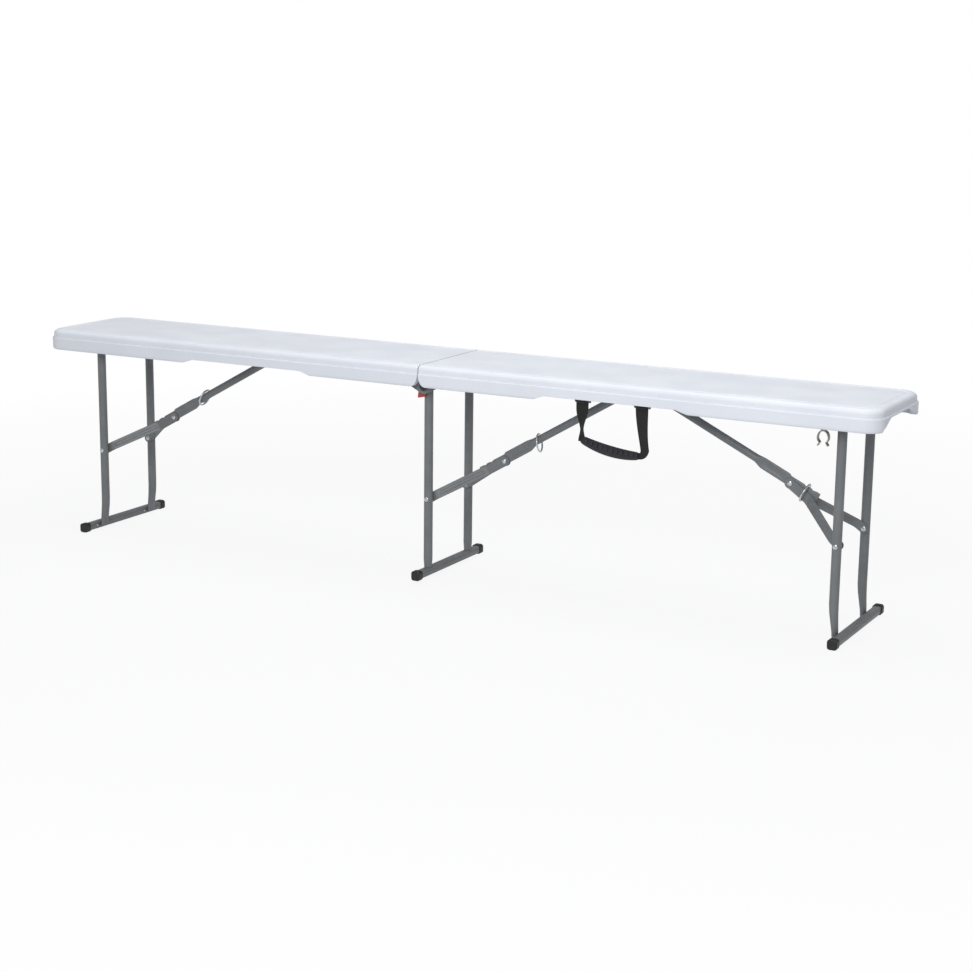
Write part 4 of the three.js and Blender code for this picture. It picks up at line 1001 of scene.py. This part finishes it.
handle_hinge = Vector(joints["handle_swing"]["pos_m"])
STRAP_X = {"left": 0.343, "right": 0.463}
GRIP_ENDS = tuple(np.array([x, handle_hinge.y, SEAT_TOP - drop]) for x, drop in ((0.344, 0.111), (0.459, 0.1305)))
GRIP_BOW = 0.0065
GRIP_HALF = 0.0072
GRIP_BELLY = 0.003
GRIP_END_SHARE = 0.86
GRIP_ROUND = 0.045
RIB_DEPTH = 0.0028
RIB_WAVE = (-0.5, 0.3)
RIB_START = (-0.30, 0.10)
RIB_STOP = (0.80, 0.97)
EYE_BORE = 0.0018
PIN_TURN = EYE_BORE + WEB_THICKNESS

# Left strap: where it starts to turn and to gather, where it is pinched, and how much it turns, narrows, thickens
TURN_START = 0.08
GATHER_START = 0.06
PINCH = 0.72
TURN_ANGLE = math.radians(80.0)
GATHER = 0.62
SPREAD = 0.24
THICK_START = 0.75
THICK_GAIN = 2.2
TUCK = (0.001, 0.002)

# Right strap: the shares of the width for its narrowing and its curl's place, and of the thickness
NARROW = 0.34
CURL_X = 0.32
CURL_Z = 0.45
CURL_END = 0.8
FLAT_SHARE = 0.85


def grip_line(t):
    """The grip's centre line: a straight line between its ends, let down by 4 bow t (1 - t)."""
    t = np.asarray(t, float)[:, None]
    line = GRIP_ENDS[0] * (1 - t) + GRIP_ENDS[1] * t
    line[:, 2:] -= 4 * GRIP_BOW * t * (1 - t)
    return line


def grip_sleeve(rows=241, sides=64, ribs=11):
    """The rubber sleeve: a round section that swells to the middle, with slots across its upper sides.

    Radius is half + 4 belly t (1 - t), less the rib depth times masks of the angle and of cos(2 pi ribs t). The
    ends round over."""
    t = np.linspace(0, 1, rows)
    line = grip_line(t)
    along = np.gradient(line, axis=0)
    along /= np.linalg.norm(along, axis=1)[:, None]
    across = np.tile([0, 1.0, 0], (rows, 1))
    up = np.cross(along, across)
    angle = 2 * np.pi * (np.arange(sides) + 0.5) / sides
    ribbed = (smooth(np.sin(angle), *RIB_START) * (1 - smooth(np.sin(angle), *RIB_STOP)))[None]
    edge = smooth(t, 0.0, GRIP_ROUND)[:, None] * smooth(1 - t, 0.0, GRIP_ROUND)[:, None]
    body = (GRIP_HALF + GRIP_BELLY * 4 * t * (1 - t))[:, None]
    ridge = smooth(np.cos(2 * np.pi * ribs * t), *RIB_WAVE)[:, None]
    radius = body * (GRIP_END_SHARE + (1 - GRIP_END_SHARE) * edge) - RIB_DEPTH * (1 - ridge) * ribbed * edge
    rings = tube_surface(line, across, up, radius, radius, sides)
    piece = closed_tube("grip_sleeve", rings, GRIP_RUBBER)
    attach(piece, "carry_handle")
    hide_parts("grip")
    return piece


def strap(name, node, line, wide, normal, half_wide, half_thick, sides=28):
    """A flat webbing strap: rings of a squared oval round its line, with thread counts as its UV map."""
    rings = tube_surface(line, wide, normal, half_wide, half_thick, sides, squareness=0.45)
    piece = closed_tube(name, rings, WEBBING, smooth_angle=60.0)
    add_threads(piece, line, wide)
    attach(piece, "carry_handle")
    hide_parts(node)
    return piece


def add_threads(piece, line, wide, pitch=0.0011):
    """A UV map in threads: u is the length along the line and v the place across it, each over the thread pitch."""
    length = np.concatenate([[0], np.cumsum(np.linalg.norm(np.diff(line, axis=0), axis=1))])
    mesh = piece.data
    places = points_of(mesh).reshape(len(line), -1, 3)
    across = np.einsum("rsk,rk->rs", places - line[:, None], wide)
    along = np.broadcast_to(length[:, None], across.shape)
    threads = np.stack([along, across], axis=2).reshape(-1, 2) / pitch
    corners = np.zeros(len(mesh.loops), np.int32)
    mesh.loops.foreach_get("vertex_index", corners)
    layer = mesh.uv_layers.new(name="threads")
    layer.data.foreach_set("uv", threads[corners].astype(np.float32).ravel())


def pin_wrap(z):
    """Half the thickness of the strap's turn round its pin, sqrt(R^2 - (z - pin)^2), and nothing elsewhere."""
    return np.sqrt(np.clip(PIN_TURN ** 2 - (z - handle_hinge.z) ** 2, 0, None))


def left_strap(rows=150):
    """The left strap turns edge-on below its pin and gathers to a pinch, then opens out into the grip's end."""
    x0 = STRAP_X["left"]
    end = GRIP_ENDS[0]
    t = np.linspace(0, 1, rows)
    top = handle_hinge.z + PIN_TURN
    x = x0 + (end[0] - TUCK[0] - x0) * t
    z = top + (end[2] - TUCK[1] - top) * t
    angle = TURN_ANGLE * smooth(t, TURN_START, PINCH)
    gathered = np.clip((t - GATHER_START) / (PINCH - GATHER_START), 0, 1) ** 1.5
    half = WEB_WIDTH / 2 * (1 - (GATHER * gathered - SPREAD * smooth(t, PINCH, 1.0)))
    line = np.stack([x, np.full(rows, handle_hinge.y), z], axis=1)
    wide = np.stack([np.cos(angle), np.sin(angle), np.zeros(rows)], axis=1)
    normal = np.stack([np.sin(angle), -np.cos(angle), np.zeros(rows)], axis=1)
    thick = np.maximum(WEB_THICKNESS / 2 * (THICK_START + THICK_GAIN * smooth(t, PINCH, 1)), pin_wrap(z))
    return strap("strap_left_web", "strap_left", line, wide, normal, half, thick)


def right_strap(rows=90, curl_rows=30):
    """The right strap stays flat and narrows, then bends a quarter turn into the grip's end."""
    x0 = STRAP_X["right"]
    end = GRIP_ENDS[1]
    turn_x = x0 + CURL_X * WEB_WIDTH
    turn_z = end[2] + CURL_Z * WEB_WIDTH
    top = handle_hinge.z + PIN_TURN
    t = np.linspace(0, 1, rows)
    straight = np.stack([
        x0 + (turn_x - x0) * t * t,
        np.full(rows, handle_hinge.y),
        top + (turn_z - top) * t,
    ], axis=1)
    c = np.linspace(0, 1, curl_rows + 1)[1:]
    curl = np.stack([
        turn_x + (end[0] - turn_x) * c + np.sin(np.pi * c) * WEB_THICKNESS,
        np.full(curl_rows, handle_hinge.y),
        turn_z + (end[2] - turn_z) * np.sin(np.pi / 2 * c),
    ], axis=1)
    line = np.concatenate([straight, curl])
    lean = np.concatenate([np.zeros(rows), np.pi / 2 * c])
    half = WEB_WIDTH / 2 * (1 - NARROW * smooth(t, 0, 1))
    half = np.concatenate([half, half[-1] + (CURL_END * GRIP_HALF - half[-1]) * c])
    flat_web = np.maximum(WEB_THICKNESS / 2 * FLAT_SHARE, pin_wrap(straight[:, 2]))
    thick = np.concatenate([flat_web, WEB_THICKNESS / 2 * (FLAT_SHARE + c)])
    wide = np.stack([np.cos(lean), np.zeros(len(lean)), -np.sin(lean)], axis=1)
    normal = np.tile([0, -1.0, 0], (len(lean), 1))
    return strap("strap_right_web", "strap_right", line, wide, normal, half, thick)


grip_sleeve()
left_strap()
right_strap()


# Floor, lights and camera


def seen_by(tree, first, *others):
    """1 for rays of any of the kinds named, and 0 for the rest."""
    rays = add(tree, "LightPath").outputs
    seen = rays["Is " + first + " Ray"]
    for kind in others:
        seen = add(tree, "Math", {0: seen, 1: rays["Is " + kind + " Ray"]}, operation="MAXIMUM").outputs[0]
    return seen


def white_to_camera(name, colour, near_share, clear_start, clear_end):
    """Plain white by a share for camera, glossy and transmission rays, and lit matt white else, which keeps a shadow.

    The share goes from near_share to 1 between two distances from the middle of the floor."""
    material, tree = blank_material(name)
    seen = seen_by(tree, "Camera", "Glossy", "Transmission")
    spot = add(tree, "TexCoord").outputs["Object"]
    distance = add(tree, "VectorMath", {0: spot}, operation="LENGTH").outputs["Value"]
    share = ranged(tree, distance, clear_start, clear_end, near_share, 1.0)
    part = add(tree, "Math", {0: seen, 1: share}, operation="MULTIPLY").outputs[0]
    matt = add(tree, "BsdfDiffuse", {"Color": colour}).outputs[0]
    white = add(tree, "Emission", {"Color": (1, 1, 1, 1), "Strength": 1.0}).outputs[0]
    blend = add(tree, "MixShader", {0: part})
    tree.links.new(matt, blend.inputs[1])
    tree.links.new(white, blend.inputs[2])
    show(tree, blend.outputs[0])
    return material


def floor():
    """A flat square of floor below the bench."""
    corners = [(x, y, 0) for x, y in box_outline(-FLOOR_HALF, FLOOR_HALF, -FLOOR_HALF, FLOOR_HALF)]
    white = white_to_camera("white_floor", srgb(205, 206, 208), FLOOR_WHITE, *FLOOR_CLEAR)
    ground = mesh_object("floor", corners, [(0, 1, 2, 3)], white)


def world():
    """A plain white surround: full white where it is seen, and softer where it only lights the bench."""
    scene_world = bpy.data.worlds.new("studio")
    bpy.context.scene.world = scene_world
    scene_world.use_nodes = True
    tree = scene_world.node_tree
    tree.nodes.clear()
    seen = seen_by(tree, "Camera", "Transmission")
    strength = add(tree, "MapRange", {"Value": seen, "To Min": FILL_STRENGTH, "To Max": 1.0}).outputs["Result"]
    shade = add(tree, "Background", {"Color": (1, 1, 1, 1), "Strength": strength})
    output = add(tree, "OutputWorld")
    tree.links.new(shade.outputs[0], output.inputs["Surface"])


def soft_lamp(name, place, target, size, watts):
    """A square area lamp that faces a point."""
    data = bpy.data.lights.new(name, "AREA")
    data.shape, data.size, data.energy = "SQUARE", size, watts
    lamp = bpy.data.objects.new(name, data)
    bpy.context.scene.collection.objects.link(lamp)
    lamp.location = place
    lamp.rotation_euler = (Vector(target) - Vector(place)).to_track_quat("-Z", "Y").to_euler()


def camera():
    """The photograph's camera: yaw and pitch give its view line, and roll turns it about that line."""
    forward = Vector((
        math.sin(CAMERA_YAW) * math.cos(CAMERA_PITCH),
        math.cos(CAMERA_YAW) * math.cos(CAMERA_PITCH),
        math.sin(CAMERA_PITCH),
    ))
    level = Vector((math.cos(CAMERA_YAW), -math.sin(CAMERA_YAW), 0))
    above = level.cross(forward)
    right = level * math.cos(CAMERA_ROLL) + above * math.sin(CAMERA_ROLL)
    up = above * math.cos(CAMERA_ROLL) - level * math.sin(CAMERA_ROLL)
    data = bpy.data.cameras.new("photo_camera")
    data.sensor_width = SENSOR_MM
    data.lens = SENSOR_MM * FOCAL_PIXELS / PHOTO_PIXELS
    data.clip_start, data.clip_end = CAMERA_CLIP
    eye = bpy.data.objects.new("photo_camera", data)
    bpy.context.scene.collection.objects.link(eye)
    turn = Matrix((right, up, -forward)).transposed().to_4x4()
    eye.matrix_world = Matrix.Translation(CAMERA_PLACE) @ turn
    bpy.context.scene.camera = eye


floor()
world()
for name, (place, target, size, watts) in LAMPS.items():
    soft_lamp(name, place, target, size, watts)
camera()
bpy.context.scene.view_settings.view_transform = "Standard"
